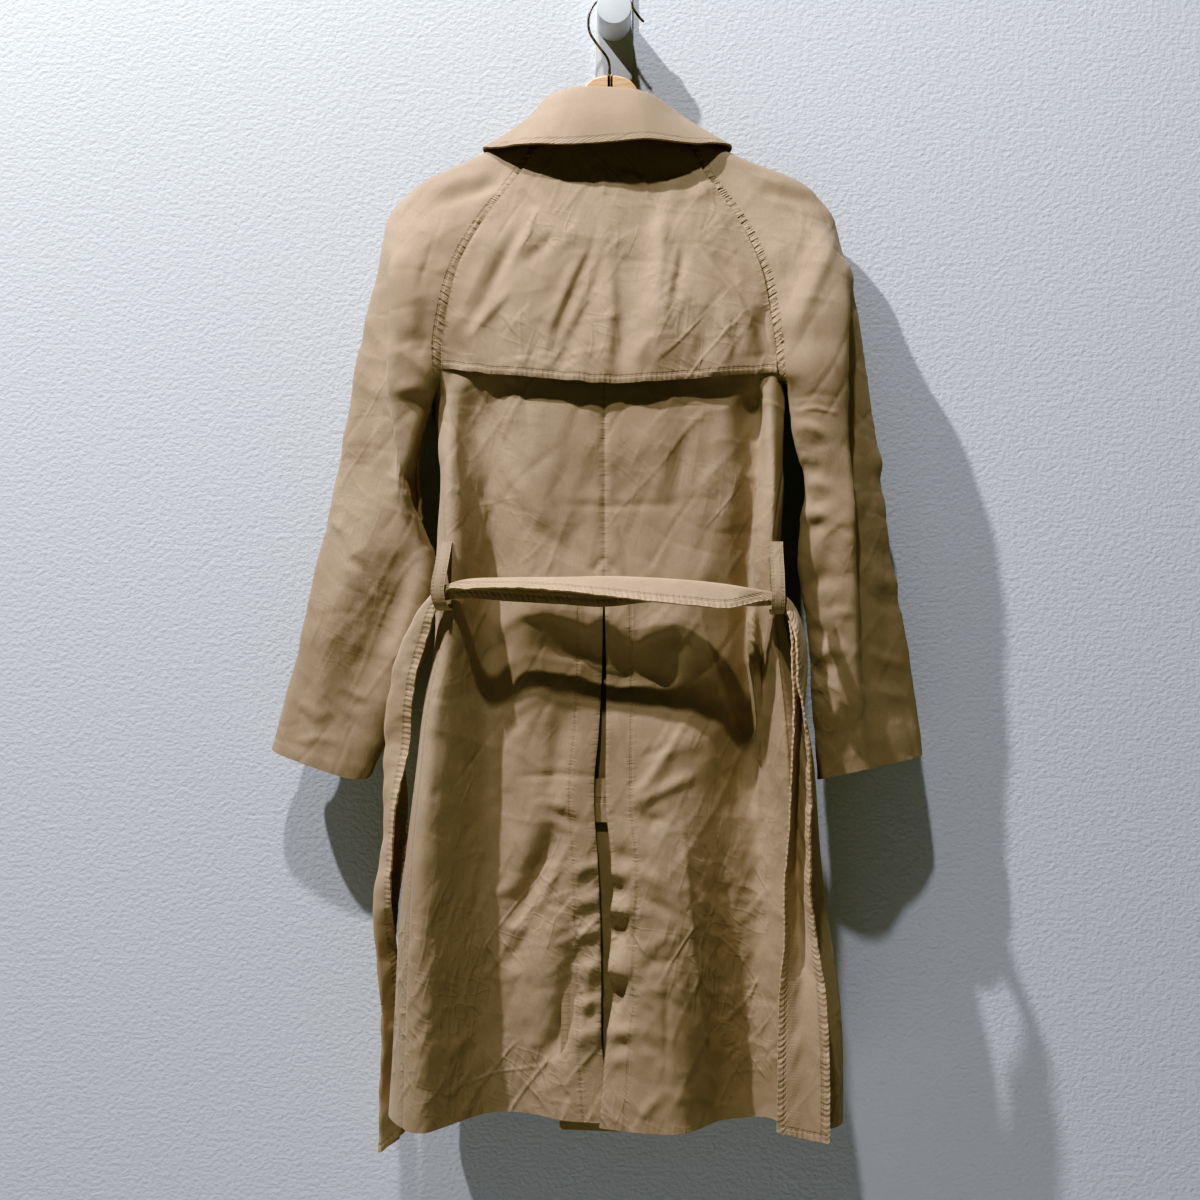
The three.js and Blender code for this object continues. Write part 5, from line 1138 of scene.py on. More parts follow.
def gabardine(name, lines=(), base=KHAKI, seams=(), painted_light_gain=1.0, wrinkle=1.0):
    """Cotton gabardine. lines: (attribute, offset mm, pucker mm, pitch mm) for each row of stitching, whose groove and
    stitch holes are darkened as painted shade; seams: (attribute, pucker mm) for each seam edge that draws the cloth
    up and is darkened along its edge as painted shade. A gain above 1 lightens the whole cloth as painted light."""
    g = Graph(name)
    uv = g.uv()
    big = g.noise(g.space((1, 1, 1)), 7.0, 3.0, 0.55)
    mid = g.noise(g.space((1, 1, 1)), 38.0, 3.0, 0.6)
    fine = g.noise(g.space((1, 1, 1)), 420.0, 2.0, 0.6)
    speck = g.noise(g.space((1, 1, 1)), 1500.0, 1.0, 0.5)
    # steep twill lines: one family of diagonal bands across the thread directions
    twill = g.wave(g.uv((1.0, 0.55, 1.0)), 400.0, 0.6, 1.0, "BANDS", "DIAGONAL")
    # painted light: a gain above 1 lightens every tone of the cloth in place of light falling on it; the belt uses one
    base = tuple(c * painted_light_gain for c in base)
    light = tuple(min(c * 1.13, 1) for c in base)
    dark = tuple(c * s for c, s in zip(base, (0.86, 0.84, 0.80)))
    col = g.mix(g.step(big, 0.3, 0.7), dark, light)
    col = g.mix(g.mul(g.step(mid, 0.35, 0.68), 0.35), col, tuple(c * 0.86 for c in base))
    col = g.mix(g.mul(g.step(fine, 0.35, 0.65), 0.22), col, tuple(c * 0.72 for c in base))
    col = g.mix(g.mul(g.step(speck, 0.4, 0.6), 0.14), col, tuple(min(c * 1.3, 1) for c in base))
    col = g.mix(g.mul(twill, 0.12), col, tuple(c * 0.7 for c in base))
    height = g.mul(twill, 0.07)
    height = g.add(height, g.mul(fine, 0.10))
    height = g.add(height, g.mul(g.noise(g.space((1.0, 1.0, 0.55)), 60.0, 3.0, 0.55), 0.42 * wrinkle))
    height = g.add(height, g.mul(g.noise(g.space((1.0, 1.0, 0.4)), 150.0, 2.0, 0.5), 0.30 * wrinkle))
    # crisp small creases along the zero lines of slow noises, stronger in patches
    patch = g.mul(g.step(g.noise(g.space((1, 1, 0.7)), 13.0, 2.0), 0.40, 0.62, 0.0, 1.0), g.attr("wr"))
    for scale, rotate, stretch, tall in ((34.0, 0.70, 0.16, 0.95), (46.0, -0.62, 0.18, 0.75), (28.0, 1.40, 0.16, 0.55), (66.0, 0.25, 0.2, 0.4), (90.0, -1.1, 0.25, 0.3)):
        f = g.noise(g.lean(rotate, stretch), scale, 0.0, 0.4, 0.12)
        ridge = g.step(g.math("ABSOLUTE", g.math("SUBTRACT", f, 0.5)), 0.0, 0.09, 1.0, 0.0)
        height = g.add(height, g.mul(g.mul(ridge, patch), tall * wrinkle))
    for i, line in enumerate(lines):
        attribute, offset, pucker, pitch = line[:4]
        along_name = line[4] if len(line) > 4 else "et"
        d = g.attr(attribute)
        along = g.attr(along_name)
        off = g.math("ABSOLUTE", g.math("SUBTRACT", d, offset))
        near = g.step(off, 0.25, 0.9, 1.0, 0.0)
        # thread: 2.4 mm stitches with short gaps
        phase = g.math("FRACT", g.mul(along, 1 / 3.1))
        thread = g.mul(near, g.step(g.math("ABSOLUTE", g.math("SUBTRACT", phase, 0.5)), 0.34, 0.44, 1.0, 0.0))
        groove = g.step(off, 0.3, 2.2, 1.0, 0.0)
        band = g.step(d, offset + 0.6, offset + (3.0 if offset < 12 else 8.0), 1.0, 0.0)
        if offset > 12:
            band = g.mul(band, g.step(d, offset - 8.0, offset - 0.6, 0.0, 1.0))
        wob = g.noise(g.vec(g.mul(along, 0.08), float(i) * 7.3, g.mul(d, 0.03)), 1.0, 2.0)
        shift = g.noise(g.vec(g.mul(along, 0.25), g.mul(d, 0.02), float(i)), 1.0, 1.0)
        regular = pitch < 6
        ripple = g.math("SINE", g.add(g.mul(along, 2 * math.pi / pitch), g.mul(shift, 3.0 if regular else 9.0)))
        uneven = g.noise(g.vec(g.mul(along, 0.16), g.mul(d, 0.14), 4.0 + i), 1.0, 2.0, 0.6)
        ripple = g.mul(g.mul(ripple, band), g.mul(g.step(wob, 0.3, 0.65, 0.55 if regular else 0.3, 1.0), g.step(uneven, 0.35, 0.62, 0.6 if regular else 0.15, 1.25)))
        height = g.add(height, g.mul(ripple, pucker))
        height = g.add(height, g.mul(groove, -0.42 if pucker > 0.12 else -0.26))
        height = g.add(height, g.mul(thread, 0.22))
        # painted shade: the colour darkens along the stitching groove
        col = g.mix(g.mul(groove, 0.15), col, tuple(c * 0.6 for c in base))
        col = g.mix(g.mul(thread, 0.5), col, tuple(min(c * 1.08, 1) for c in base))
        # painted shade: the cloth darkens in the holes between stitches
        gap = g.mul(near, g.step(g.math("ABSOLUTE", g.math("SUBTRACT", phase, 0.5)), 0.38, 0.46, 0.0, 1.0))
        col = g.mix(g.mul(gap, 0.55), col, tuple(c * 0.4 for c in base))
    for i, (attribute, pucker) in enumerate(seams):
        d = g.attr(attribute)
        along = g.attr("et")
        band = g.step(d, 0.5, 9.0, 1.0, 0.0)
        shift = g.noise(g.vec(g.mul(along, 0.2), g.mul(d, 0.03), 3.1 + i), 1.0, 1.0)
        ripple = g.math("SINE", g.add(g.mul(along, 2 * math.pi / 7.5), g.mul(shift, 11.0)))
        height = g.add(height, g.mul(g.mul(ripple, band), pucker))
        # painted shade: the colour darkens within about a millimetre of each seam edge, where the cloth turns into the
        # seam
        col = g.mix(g.step(d, 0.2, 1.3, 0.35, 0.0), col, tuple(c * 0.5 for c in base))
    g.set("Base Color", col)
    g.set("Roughness", g.step(mid, 0.2, 0.8, 0.74, 0.88))
    g.set("Sheen Weight", 0.18)
    g.set("Sheen Roughness", 0.45)
    g.set("Sheen Tint", (1.0, 0.93, 0.82, 1.0))
    g.set("Specular IOR Level", 0.28)
    g.bump(height)
    return g.mat


def wood_material():
    g = Graph("pale_wood")
    v = g.space((1.0, 0.35, 1.0), (0, math.radians(28), 0))
    grain = g.wave(g.space((0.4, 1.0, 1.0)), 55.0, 7.0, 3.0, "BANDS", "Z")
    pores = g.noise(g.space((0.12, 1.0, 1.0)), 900.0, 3.0, 0.6)
    tone = g.noise(v, 9.0, 2.0)
    col = g.mix(g.step(grain, 0.2, 0.9), (0.60, 0.40, 0.25), (0.49, 0.30, 0.17))
    col = g.mix(g.mul(g.step(pores, 0.45, 0.62), 0.35), col, (0.36, 0.21, 0.11))
    col = g.mix(g.mul(g.step(tone, 0.3, 0.7), 0.3), col, (0.68, 0.47, 0.30))
    g.set("Base Color", col)
    g.set("Roughness", g.step(grain, 0, 1, 0.36, 0.46))
    g.set("Coat Weight", 0.25)
    g.set("Coat Roughness", 0.2)
    g.bump(g.add(g.mul(grain, 0.04), g.mul(pores, 0.08)))
    return g.mat


def paint_material(name, base, rough=0.35):
    g = Graph(name)
    tone = g.noise(g.space(), 14.0, 3.0)
    peel = g.noise(g.space(), 700.0, 2.0)
    dust = g.noise(g.space(), 160.0, 4.0, 0.7)
    col = g.mix(g.step(tone, 0.3, 0.7), base, tuple(c * 0.93 for c in base))
    col = g.mix(g.mul(g.step(dust, 0.62, 0.78), 0.25), col, tuple(c * 0.8 for c in base))
    g.set("Base Color", col)
    g.set("Roughness", g.step(dust, 0.3, 0.8, rough, rough + 0.15))
    g.set("Specular IOR Level", 0.5)
    g.bump(g.mul(peel, 0.03))
    return g.mat


def wire_material():
    g = Graph("dark_wire")
    tone = g.noise(g.space(), 220.0, 3.0)
    col = g.mix(g.step(tone, 0.3, 0.7), (0.10, 0.085, 0.07), (0.22, 0.19, 0.16))
    g.set("Base Color", col)
    g.set("Metallic", 0.85)
    g.set("Roughness", g.step(tone, 0.2, 0.8, 0.28, 0.45))
    g.bump(g.mul(tone, 0.03))
    return g.mat


# ------------------------------------------------------------------ the panels
PIECES = {}


def noise_body(p):
    return (0.55 * W1(p[..., 0], p[..., 2]) + 0.35 * W2(p[..., 0], p[..., 2]))


W1 = waves(11, 60, 170, stretch=(1.0, 2.2))
W2 = waves(12, 22, 48, stretch=(1.0, 1.6))
W3 = waves(13, 30, 80, stretch=(1.0, 1.0))
W4 = waves(14, 55, 150, stretch=(1.0, 3.0))

def ridged(seed, low, high, stretch, turn, wide):
    """Soft creases along the zero lines of a random height, some raised and some sunk."""
    f, pick = waves(seed, low, high, 14, stretch), waves(seed + 500, low * 2.5, high * 3, 10)
    c, s = math.cos(turn), math.sin(turn)

    def height(p):
        a = p[..., 0] * c + p[..., 2] * s
        b = -p[..., 0] * s + p[..., 2] * c
        return np.exp(-np.abs(f(a, b) / wide) ** 1.4) * np.clip(pick(a, b) * 1.4, -1, 1)
    return height


R1 = ridged(71, 55, 110, (1.0, 4.5), 0.42, 0.26)
R2 = ridged(72, 45, 95, (1.0, 4.0), -0.55, 0.24)
R3 = ridged(73, 40, 80, (1.0, 3.2), 1.1, 0.24)


def crumple(p, a=1.0, b=1.0, c=1.0):
    return a * R1(p) + b * R2(p) + c * R3(p)


side_knots = [(k, [c[0][0], c[1][0]]) for k, c in seam_rows]


def seam_q(side, z):
    return follow(side_knots, z)[..., 0 if side == "left" else 1]


def back_folds(p):
    z = p[..., 2]
    calm = smooth(-z, 120, 200)
    return (1.6 * crease(p, FLAP_FOLDS) + 0.42 * crease(p, FLAP_SMALL)) * smooth(-z, 405, 385) + 1.6 * (crease(p, BACK_FOLDS) + crease(p, HOLLOW)) + 0.55 * crease(p, BACK_SMALL) + (0.7 * noise_body(p) + crumple(p, 0.8, 0.8, 0.5)) * calm


def sleeve_folds(p):
    z = p[..., 2]
    return 1.5 * crease(p, SLEEVE_FOLDS) + 0.4 * crease(p, SLEEVE_SMALL) + (0.6 * W1(p[..., 0], z) + 0.4 * W3(p[..., 0], z) + crumple(p, 0.8, 0.8, 0.6)) * smooth(-z, 125, 230)


def front_folds(p):
    z = p[..., 2]
    return 1.6 * W4(p[..., 0], z) * smooth(-z, 140, 320)


UNDERARM = tuple(ARMPIT - k for k in range(0, 11))


def underarm(z):
    """0 above the armpit and 1 once the side and sleeve seams have closed below it."""
    return smooth(-z, -ARMPIT, -ARMPIT + 10)


for side in ("left", "right"):
    pb, pf, s = PB[side], PB[side] + 1, SIGN[side]
    ce = pf + 4
    z = levels(NECK, HEM, FINE, UNDERARM + (VENT_TOP,))
    end = pb + (np.minimum(seam_q(side, z), pb + 0.5) - pb) * underarm(z)
    mat = gabardine(f"gabardine_back_{side}", lines=[("vent", 24.0 if side == "left" else 25.5, 0.16, 6.5)], seams=[("e0", 0.10), ("e1", 0.08)])
    obj, (q, zz, p, n) = panel(
        f"back_{side}", lambda q, z, side=side: body_at(side, q, z), z, np.zeros(len(z)), end, FINE, mat, back_folds, flip=side == "left", side_edge=1)
    # the vent's stitching starts at the waist: elsewhere its distance is pushed out of reach
    me = obj.data
    e0 = np.empty(len(me.vertices))
    me.attributes["e0"].data.foreach_get("value", e0)
    co = np.empty(len(me.vertices) * 3)
    me.vertices.foreach_get("co", co)
    height = co.reshape(-1, 3)[:, 2] * 1000
    vent = me.attributes.new("vent", "FLOAT", "POINT")
    vent.data.foreach_set("value", np.where(height < VENT_TOP - 6, e0, 999.0))
    PIECES[f"back_{side}"] = obj

    zf = levels(NECK, HEM, COARSE, UNDERARM)
    start = pf + (seam_q(side, zf) - pf) * underarm(zf)
    matf = gabardine(f"gabardine_front_{side}", lines=[("e1", 12.0, 0.12, 6.5)], seams=[("e0", 0.08)])
    obj, _ = panel(f"front_{side}", lambda q, z, side=side: body_at(side, q, z), zf, start, np.full(len(zf), float(ce)), COARSE, matf, front_folds, flip=side == "left", side_edge=0)
    PIECES[f"front_{side}"] = obj

    zs = levels(NECK, CUFF, FINE, UNDERARM)
    q0 = 1.0 - underarm(zs)
    mats = gabardine(f"gabardine_sleeve_{side}", lines=[("raglan", 8.0, 0.95 if side == "right" else 0.6, 7.6)], seams=[("raglan", 0.15), ("e1", 0.1)], wrinkle=0.55)
    obj, (q, zz, p, n) = panel(f"sleeve_back_{side}", lambda q, z, side=side: sleeve_at(side, q, z), zs, q0, np.full(len(zs), 6.0), FINE, mats, sleeve_folds, flip=side == "left")
    me = obj.data
    e0 = np.empty(len(me.vertices))
    me.attributes["e0"].data.foreach_get("value", e0)
    co = np.empty(len(me.vertices) * 3)
    me.vertices.foreach_get("co", co)
    height = co.reshape(-1, 3)[:, 2] * 1000
    rag = me.attributes.new("raglan", "FLOAT", "POINT")
    rag.data.foreach_set("value", np.where(height > ARMPIT - 1, e0, 999.0))
    PIECES[f"sleeve_back_{side}"] = obj

    zc = levels(NECK, CUFF, COARSE, UNDERARM)
    q1 = 10.0 + underarm(zc)
    obj, _ = panel(f"sleeve_front_{side}", lambda q, z, side=side: sleeve_at(side, q, z), zc, np.full(len(zc), 6.0), q1, COARSE,
                   gabardine(f"gabardine_sleeve_front_{side}", lines=[], seams=[("e0", 0.1), ("e1", 0.1)], wrinkle=0.55), sleeve_folds, flip=side == "left")
    PIECES[f"sleeve_front_{side}"] = obj

# ------------------------------------------------------------------ storm flap
flap_names, flap_rows = parse(FLAP_EDGE)
flap_knots = [(k, [c[0][0], c[1][0]]) for k, c in flap_rows]
rows = int(285 / (FINE * 0.85))
w = np.concatenate([[0, 0.003, 0.008], np.linspace(0.016, 0.984, rows), [0.992, 0.997, 1.0]])
ql, qr = -float(PB["left"]), float(PB["right"])
edge_q = lambda q, z: upper.at(UPPER_CB + q, z)
base_z = np.full(4, -300.0)
q_rows, arc_rows, len_rows = lay(edge_q, base_z, np.full(4, ql), np.full(4, qr), FINE * 0.85)
qrow = q_rows[0]
x_low = upper.at(UPPER_CB + qrow, np.full(qrow.shape, -385.0))[..., 0]
edge_z, edge_off = follow(flap_knots, x_low).T
scallop = waves(31, 18, 34, 8)
edge_z = edge_z + 0.25 * scallop(x_low, 0 * x_low)
zz = NECK + (edge_z[None, :] - NECK) * w[:, None]
Q = np.broadcast_to(qrow[None, :], zz.shape)
p = world(upper.at(UPPER_CB + Q, zz))
n = grid_normals(p, False)
ripple = waves(32, 20, 38, 10)
swell = waves(33, 45, 110, 10, stretch=(1, 2))
W = w[:, None]
lift = edge_off[None, :] * W ** 1.6
h = CLOTH + SEAM + 0.1 + lift + 1.6 * crease(p, FLAP_FOLDS) + 0.42 * crease(p, FLAP_SMALL) + (noise_body(p) + crumple(p, 0.8, 0.8, 0.5)) * smooth(-p[..., 2], 120, 200)
h = h + W ** 3 * (0.35 * ripple(p[..., 0], 0 * p[..., 0]) + 1.4 * swell(p[..., 0], p[..., 2])) * smooth(edge_off[None, :] + 0 * W, 0.5, 6)
p = p + n * h[..., None]
n = grid_normals(p, False)
down = arcs_down(p)
arc = np.concatenate([np.zeros((p.shape[0], 1)), np.cumsum(np.linalg.norm(np.diff(p, axis=1), axis=-1), axis=1)], axis=1)
roll = -0.7 * np.exp(-(((down[-1][None, :] - down) / 1.6) ** 2))
p = p + n * roll[..., None]
PIECES["storm_flap"] = shell(
    "storm_flap", p, n, CLOTH * 1.3, {"e0": arc, "e1": arc[:, -1:] - arc, "eb": down[-1][None, :] - down, "et": down, "wr": worn(p)},
    np.stack([arc, down], axis=-1),
    gabardine("gabardine_flap", lines=[("eb", 6.5, 0.15, 5.2, "e0")], seams=[("e0", 0.14), ("e1", 0.14)]))


# ------------------------------------------------------------------ free grids: collar, belt, loops, vent pieces
def spline_grid(lists, us, ws):
    """lists[i][j] are points; a smooth surface through them at stations us and positions ws."""
    a = np.asarray(lists, float)
    def ext(arr):
        return np.concatenate([2 * arr[:1] - arr[1:2], arr, 2 * arr[-1:] - arr[-2:-1]])
    a2 = np.swapaxes(ext(np.swapaxes(a, 0, 1)), 0, 1)
    m = a.shape[1]
    j = np.clip(np.floor(ws).astype(int), 0, m - 2)
    cross = across(a2[:, j], a2[:, j + 1], a2[:, j + 2], a2[:, j + 3], np.broadcast_to((ws - j)[None, :], (a.shape[0], len(ws))))
    e = ext(cross)
    i = np.clip(np.floor(us).astype(int), 0, a.shape[0] - 2)
    return across(e[i], e[i + 1], e[i + 2], e[i + 3], np.broadcast_to((us - i)[:, None], (len(us), len(ws))))


def even(lists, mid, spacing, edge=(0.9, 2.2)):
    """Station values that step evenly along the middle line of the lists."""
    n = len(lists)
    dense = np.linspace(0, n - 1, 40 * n)
    line = spline_grid(lists, dense, np.array([float(mid)]))[:, 0]
    arc = np.concatenate([[0], np.cumsum(np.linalg.norm(np.diff(line, axis=0), axis=1))])
    return np.interp(stops(arc[-1], spacing, edge) * arc[-1], arc, dense)


def free_sheet(name, p, thickness, material, centred=True, flip=False, extra=None):
    n = grid_normals(p, flip)
    if extra is not None:
        p = p + n * extra(p)[..., None]
        n = grid_normals(p, flip)
    arc = np.concatenate([np.zeros((p.shape[0], 1)), np.cumsum(np.linalg.norm(np.diff(p, axis=1), axis=-1), axis=1)], axis=1)
    down = arcs_down(p)
    attrs = {"e0": arc, "e1": arc[:, -1:] - arc, "et": down, "eb": down[-1][None, :] - down, "wr": 0.3 + 0 * down}
    return shell(name, p, n, thickness, attrs, np.stack([arc, down], axis=-1), material, centred)


collar_names, collar_rows = parse(COLLAR)
neck_names, neck_rows = parse(NECK_SEAM)
centre_neck = np.array([-8.0, -38.0, 0.0])
fall, stand = [], []
for (key, cells), (_, neck) in zip(collar_rows, neck_rows):
    roll_p, mid_p, edge_p = (world(np.array(c, float)) for c in cells)
    inward = (centre_neck - roll_p) * [1, 1, 0]
    inward /= np.linalg.norm(inward)
    fall.append([roll_p + inward * 2.2 + [0, 0, -0.7], roll_p, mid_p, edge_p])
    stand.append([roll_p + inward * 2.6 + [0, 0, -3.0], world(np.array(neck[0], float)) + [0, 0, SEAM]])
us = even(fall, 2, FINE * 0.7)
ws = np.concatenate([np.linspace(0, 1, 8)[:-1], np.linspace(1, 2.95, 26), [2.975, 3.0]])
p = spline_grid(fall, us, ws)
cw = waves(41, 18, 42, 10)
cs = waves(42, 60, 130, 8)


def collar_wave(p):
    t = np.broadcast_to((ws / 3.0)[None, :], p.shape[:2])
    a = np.broadcast_to(np.linspace(0, 620, p.shape[0])[:, None], p.shape[:2])
    return (t ** 3) * (0.18 * cw(a, 0 * a) + 0.9 * cs(a, 0 * a))


PIECES["collar_fall"] = free_sheet("collar_fall", p, 2.2, gabardine("gabardine_collar", lines=[("e1", 6.5, 0.30, 6.0)], wrinkle=0.35), centred=False, flip=False, extra=collar_wave)
p = spline_grid(stand, us, np.linspace(0, 1, 10))
PIECES["collar_stand"] = free_sheet("collar_stand", p, CLOTH, gabardine("gabardine_stand", lines=[("e1", 3.0, 0.1, 6.0)]), centred=False, flip=True)

belt_names, belt_rows = parse(BELT)
belt = [[world(np.array(c[1], float)), world(np.array(c[0], float)), world(np.array(c[2], float))] for _, c in belt_rows]
us = even(belt, 1, FINE * 0.8)
ws = np.concatenate([[0, 0.03, 0.08], np.linspace(0.15, 1.85, 19), [1.92, 1.97, 2.0]])
p = spline_grid(belt, us, ws)
bw = waves(51, 9, 20, 8)
bs = waves(52, 30, 80, 8)


def belt_wave(p):
    run = arcs_down(p)
    tail = smooth(np.abs(p[..., 0] + 5), 170, 182)
    side = np.broadcast_to((np.abs(ws - 1.0) ** 2)[None, :], run.shape)
    return (0.25 + 0.12 * tail) * side * bw(run, ws[None, :] * 30) + 0.5 * tail * bs(run, ws[None, :] * 40)


# painted light: the belt's colour is raised 1.22 times for the light falling on its top
PIECES["belt"] = free_sheet("belt", p, BELT_CLOTH, gabardine("gabardine_belt", lines=[("e0", 7.0, 0.24, 5.6), ("e1", 7.0, 0.24, 5.6), ("eb", 7.0, 0.2, 5.6, "e0"), ("et", 7.0, 0.2, 5.6, "e0")], wrinkle=0.5, painted_light_gain=1.22), extra=belt_wave)

for name, text in (("belt_loop_left", LOOP_LEFT), ("belt_loop_right", LOOP_RIGHT)):
    _, loop_rows = parse(text)
    line = [[world(np.array(c[0], float)) + [k * 6.5, 0, 0] for k in (-1, 1)] for _, c in loop_rows]
    us = even(line, 0.5, 1.6, (0.5, 1.2))
    PIECES[name] = free_sheet(name, spline_grid(line, us, np.linspace(0, 1, 9)), CLOTH, gabardine("gabardine_" + name, lines=[("e0", 2.0, 0.08, 4.0), ("e1", 2.0, 0.08, 4.0)]))

under_wave = waves(61, 40, 110, 10, stretch=(1, 2))
for name, text in (("vent_underlay", UNDERLAY), ("vent_tab", VENT_TAB)):
    _, flat_rows = parse(text)
    line = [[world(np.array([c[0], c[1], key], float)) for c in cells] for key, cells in flat_rows]
    us = even(line, 0.5, 4.0 if name == "vent_underlay" else 2.0)
    sheet = spline_grid(line, us, np.linspace(0, 1, 24))
    sheet[..., 1] -= 1.6 * crease(sheet, HOLLOW)
    lines = [("e0", 8.0, 0.1, 6.0), ("e1", 8.0, 0.1, 6.0)] if name == "vent_underlay" else [("et", 20.0, 0.2, 5.0, "e0"), ("et", 23.0, 0.2, 5.0, "e0")]
    PIECES[name] = free_sheet(name, sheet, CLOTH, gabardine("gabardine_" + name, lines=lines),
                              extra=lambda p: 0.7 * under_wave(p[..., 0], p[..., 2]))

for name, obj in PIECES.items():
    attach(obj, "root")
    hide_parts(name)

# ------------------------------------------------------------------ hanger, its hook and the wall hook
def tube_along(name, path, radius, material, around=16, step=1.2):
    pts = np.asarray(path, float)
    e = np.concatenate([2 * pts[:1] - pts[1:2], pts, 2 * pts[-1:] - pts[-2:-1]])
    dense = []
    for i in range(len(pts) - 1):
        ww = np.linspace(0, 1, 30, endpoint=False)
        dense.append(across(*(np.broadcast_to(e[i + k], (30, 3)) for k in range(4)), ww))
    dense = np.concatenate(dense + [pts[-1:]])
    arc = np.concatenate([[0], np.cumsum(np.linalg.norm(np.diff(dense, axis=0), axis=1))])
    s = np.linspace(0, arc[-1], int(arc[-1] / step) + 1)
    line = np.stack([np.interp(s, arc, dense[:, k]) for k in range(3)], axis=1)
    tan = np.gradient(line, axis=0)
    tan /= np.linalg.norm(tan, axis=1, keepdims=True)
    up = np.array([0.0, 1.0, 0.0])
    side = np.cross(tan, up)
    side /= np.linalg.norm(side, axis=1, keepdims=True)
    up = np.cross(side, tan)
    a = np.linspace(0, 2 * np.pi, around, endpoint=False)
    r = np.full(len(s), radius)
    r[0] *= 0.6
    r[-1] *= 0.6
    ring = line[:, None] + r[:, None, None] * (np.cos(a)[None, :, None] * side[:, None] + np.sin(a)[None, :, None] * up[:, None])
    verts = ring.reshape(-1, 3)
    n = len(s)
    idx = np.arange(n * around).reshape(n, around)
    nx = np.roll(idx, -1, axis=1)
    faces = np.stack([idx[:-1].ravel(), nx[:-1].ravel(), nx[1:].ravel(), idx[1:].ravel()], axis=1)
    ends = [list(range(around))[::-1], [int(v) for v in idx[-1]]]
    return mesh_from(name, verts, faces.tolist() + ends, material)


def mesh_from(name, verts, faces, material, sharp=35):
    mesh = bpy.data.meshes.new(name)
    mesh.from_pydata([tuple(v) for v in np.asarray(verts, float) / 1000.0], [], faces)
    bm = bmesh.new()
    bm.from_mesh(mesh)
    bmesh.ops.recalc_face_normals(bm, faces=bm.faces)
    bm.to_mesh(mesh)
    bm.free()
    for poly in mesh.polygons:
        poly.use_smooth = True
    mesh.set_sharp_from_angle(angle=math.radians(sharp))
    mesh.materials.append(material)
    obj = bpy.data.objects.new(name, mesh)
    bpy.context.scene.collection.objects.link(obj)
    return obj


def rounded_plate(name, outline, y0, y1, radius, material, steps=5):
    """A flat outline in x, z made solid from y0 to y1, its edges rounded."""
    o = np.asarray(outline, float)
    d = np.roll(o, -1, axis=0) - np.roll(o, 1, axis=0)
    d /= np.linalg.norm(d, axis=1, keepdims=True)
    area = 0.5 * np.sum(o[:, 0] * np.roll(o[:, 1], -1) - np.roll(o[:, 0], -1) * o[:, 1])
    inward = np.stack([-d[:, 1], d[:, 0]], axis=1) * (1 if area > 0 else -1)
    rings = []
    for k in range(steps + 1):
        t = math.pi / 2 * k / steps
        rings.append((o + inward * radius * (1 - math.sin(t)), y0 + (y1 - y0) / abs(y1 - y0) * radius * (1 - math.cos(t))))
    for k in range(steps, -1, -1):
        t = math.pi / 2 * k / steps
        rings.append((o + inward * radius * (1 - math.sin(t)), y1 - (y1 - y0) / abs(y1 - y0) * radius * (1 - math.cos(t))))
    verts, faces = [], []
    n = len(o)
    for pts, y in rings:
        verts += [(x, y, z) for x, z in pts]
    for r in range(len(rings) - 1):
        for i in range(n):
            j = (i + 1) % n
            faces.append((r * n + i, r * n + j, (r + 1) * n + j, (r + 1) * n + i))
    faces.append(tuple(range(n)))
    faces.append(tuple(range((len(rings) - 1) * n, len(rings) * n)))
    return mesh_from(name, verts, faces, material, 50)


def smooth_line(points, per=10):
    pts = np.asarray(points, float)
    e = np.concatenate([2 * pts[:1] - pts[1:2], pts, 2 * pts[-1:] - pts[-2:-1]])
    out = []
    for i in range(len(pts) - 1):
        ww = np.linspace(0, 1, per, endpoint=False)
        out.append(across(*(np.broadcast_to(e[i + k], (per, pts.shape[1])) for k in range(4)), ww))
    return np.concatenate(out + [pts[-1:]])


WOOD = wood_material()
WIRE = wire_material()
PAINT = paint_material("wall_hook_paint", (0.60, 0.63, 0.65))
FACE = paint_material("peg_face_paint", (0.62, 0.68, 0.72), 0.3)
JOINT = -4.2
_, arm_rows = parse(ARM_TOP)
_, deep_rows = parse(ARM_DEPTH)
top = smooth_line([[c[0][0], c[1][0]] for _, c in arm_rows])
deep = follow([(k, c[0]) for k, c in deep_rows], top[:, 0])[:, 0]
low = np.stack([top[:, 0] * 0.985, top[:, 1] - deep], axis=1)[::-1]
for name, sign in (("hanger_arm_left", -1), ("hanger_arm_right", 1)):
    outline = np.concatenate([top, low])
    outline = np.stack([JOINT + sign * (outline[:, 0] + SEAM / 2), outline[:, 1]], axis=1)
    obj = rounded_plate(name, outline, -33.0, -43.0, 2.4, WOOD)
    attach(obj, "root"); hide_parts(name)
    PIECES[name] = obj

_, hook_rows = parse(HOOK_LINE)
obj = tube_along("hanger_hook", [[c[0][0], -38.0, c[1][0]] for _, c in hook_rows], 1.35, WIRE)
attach(obj, "root"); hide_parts("hanger_hook")
PIECES["hanger_hook"] = obj


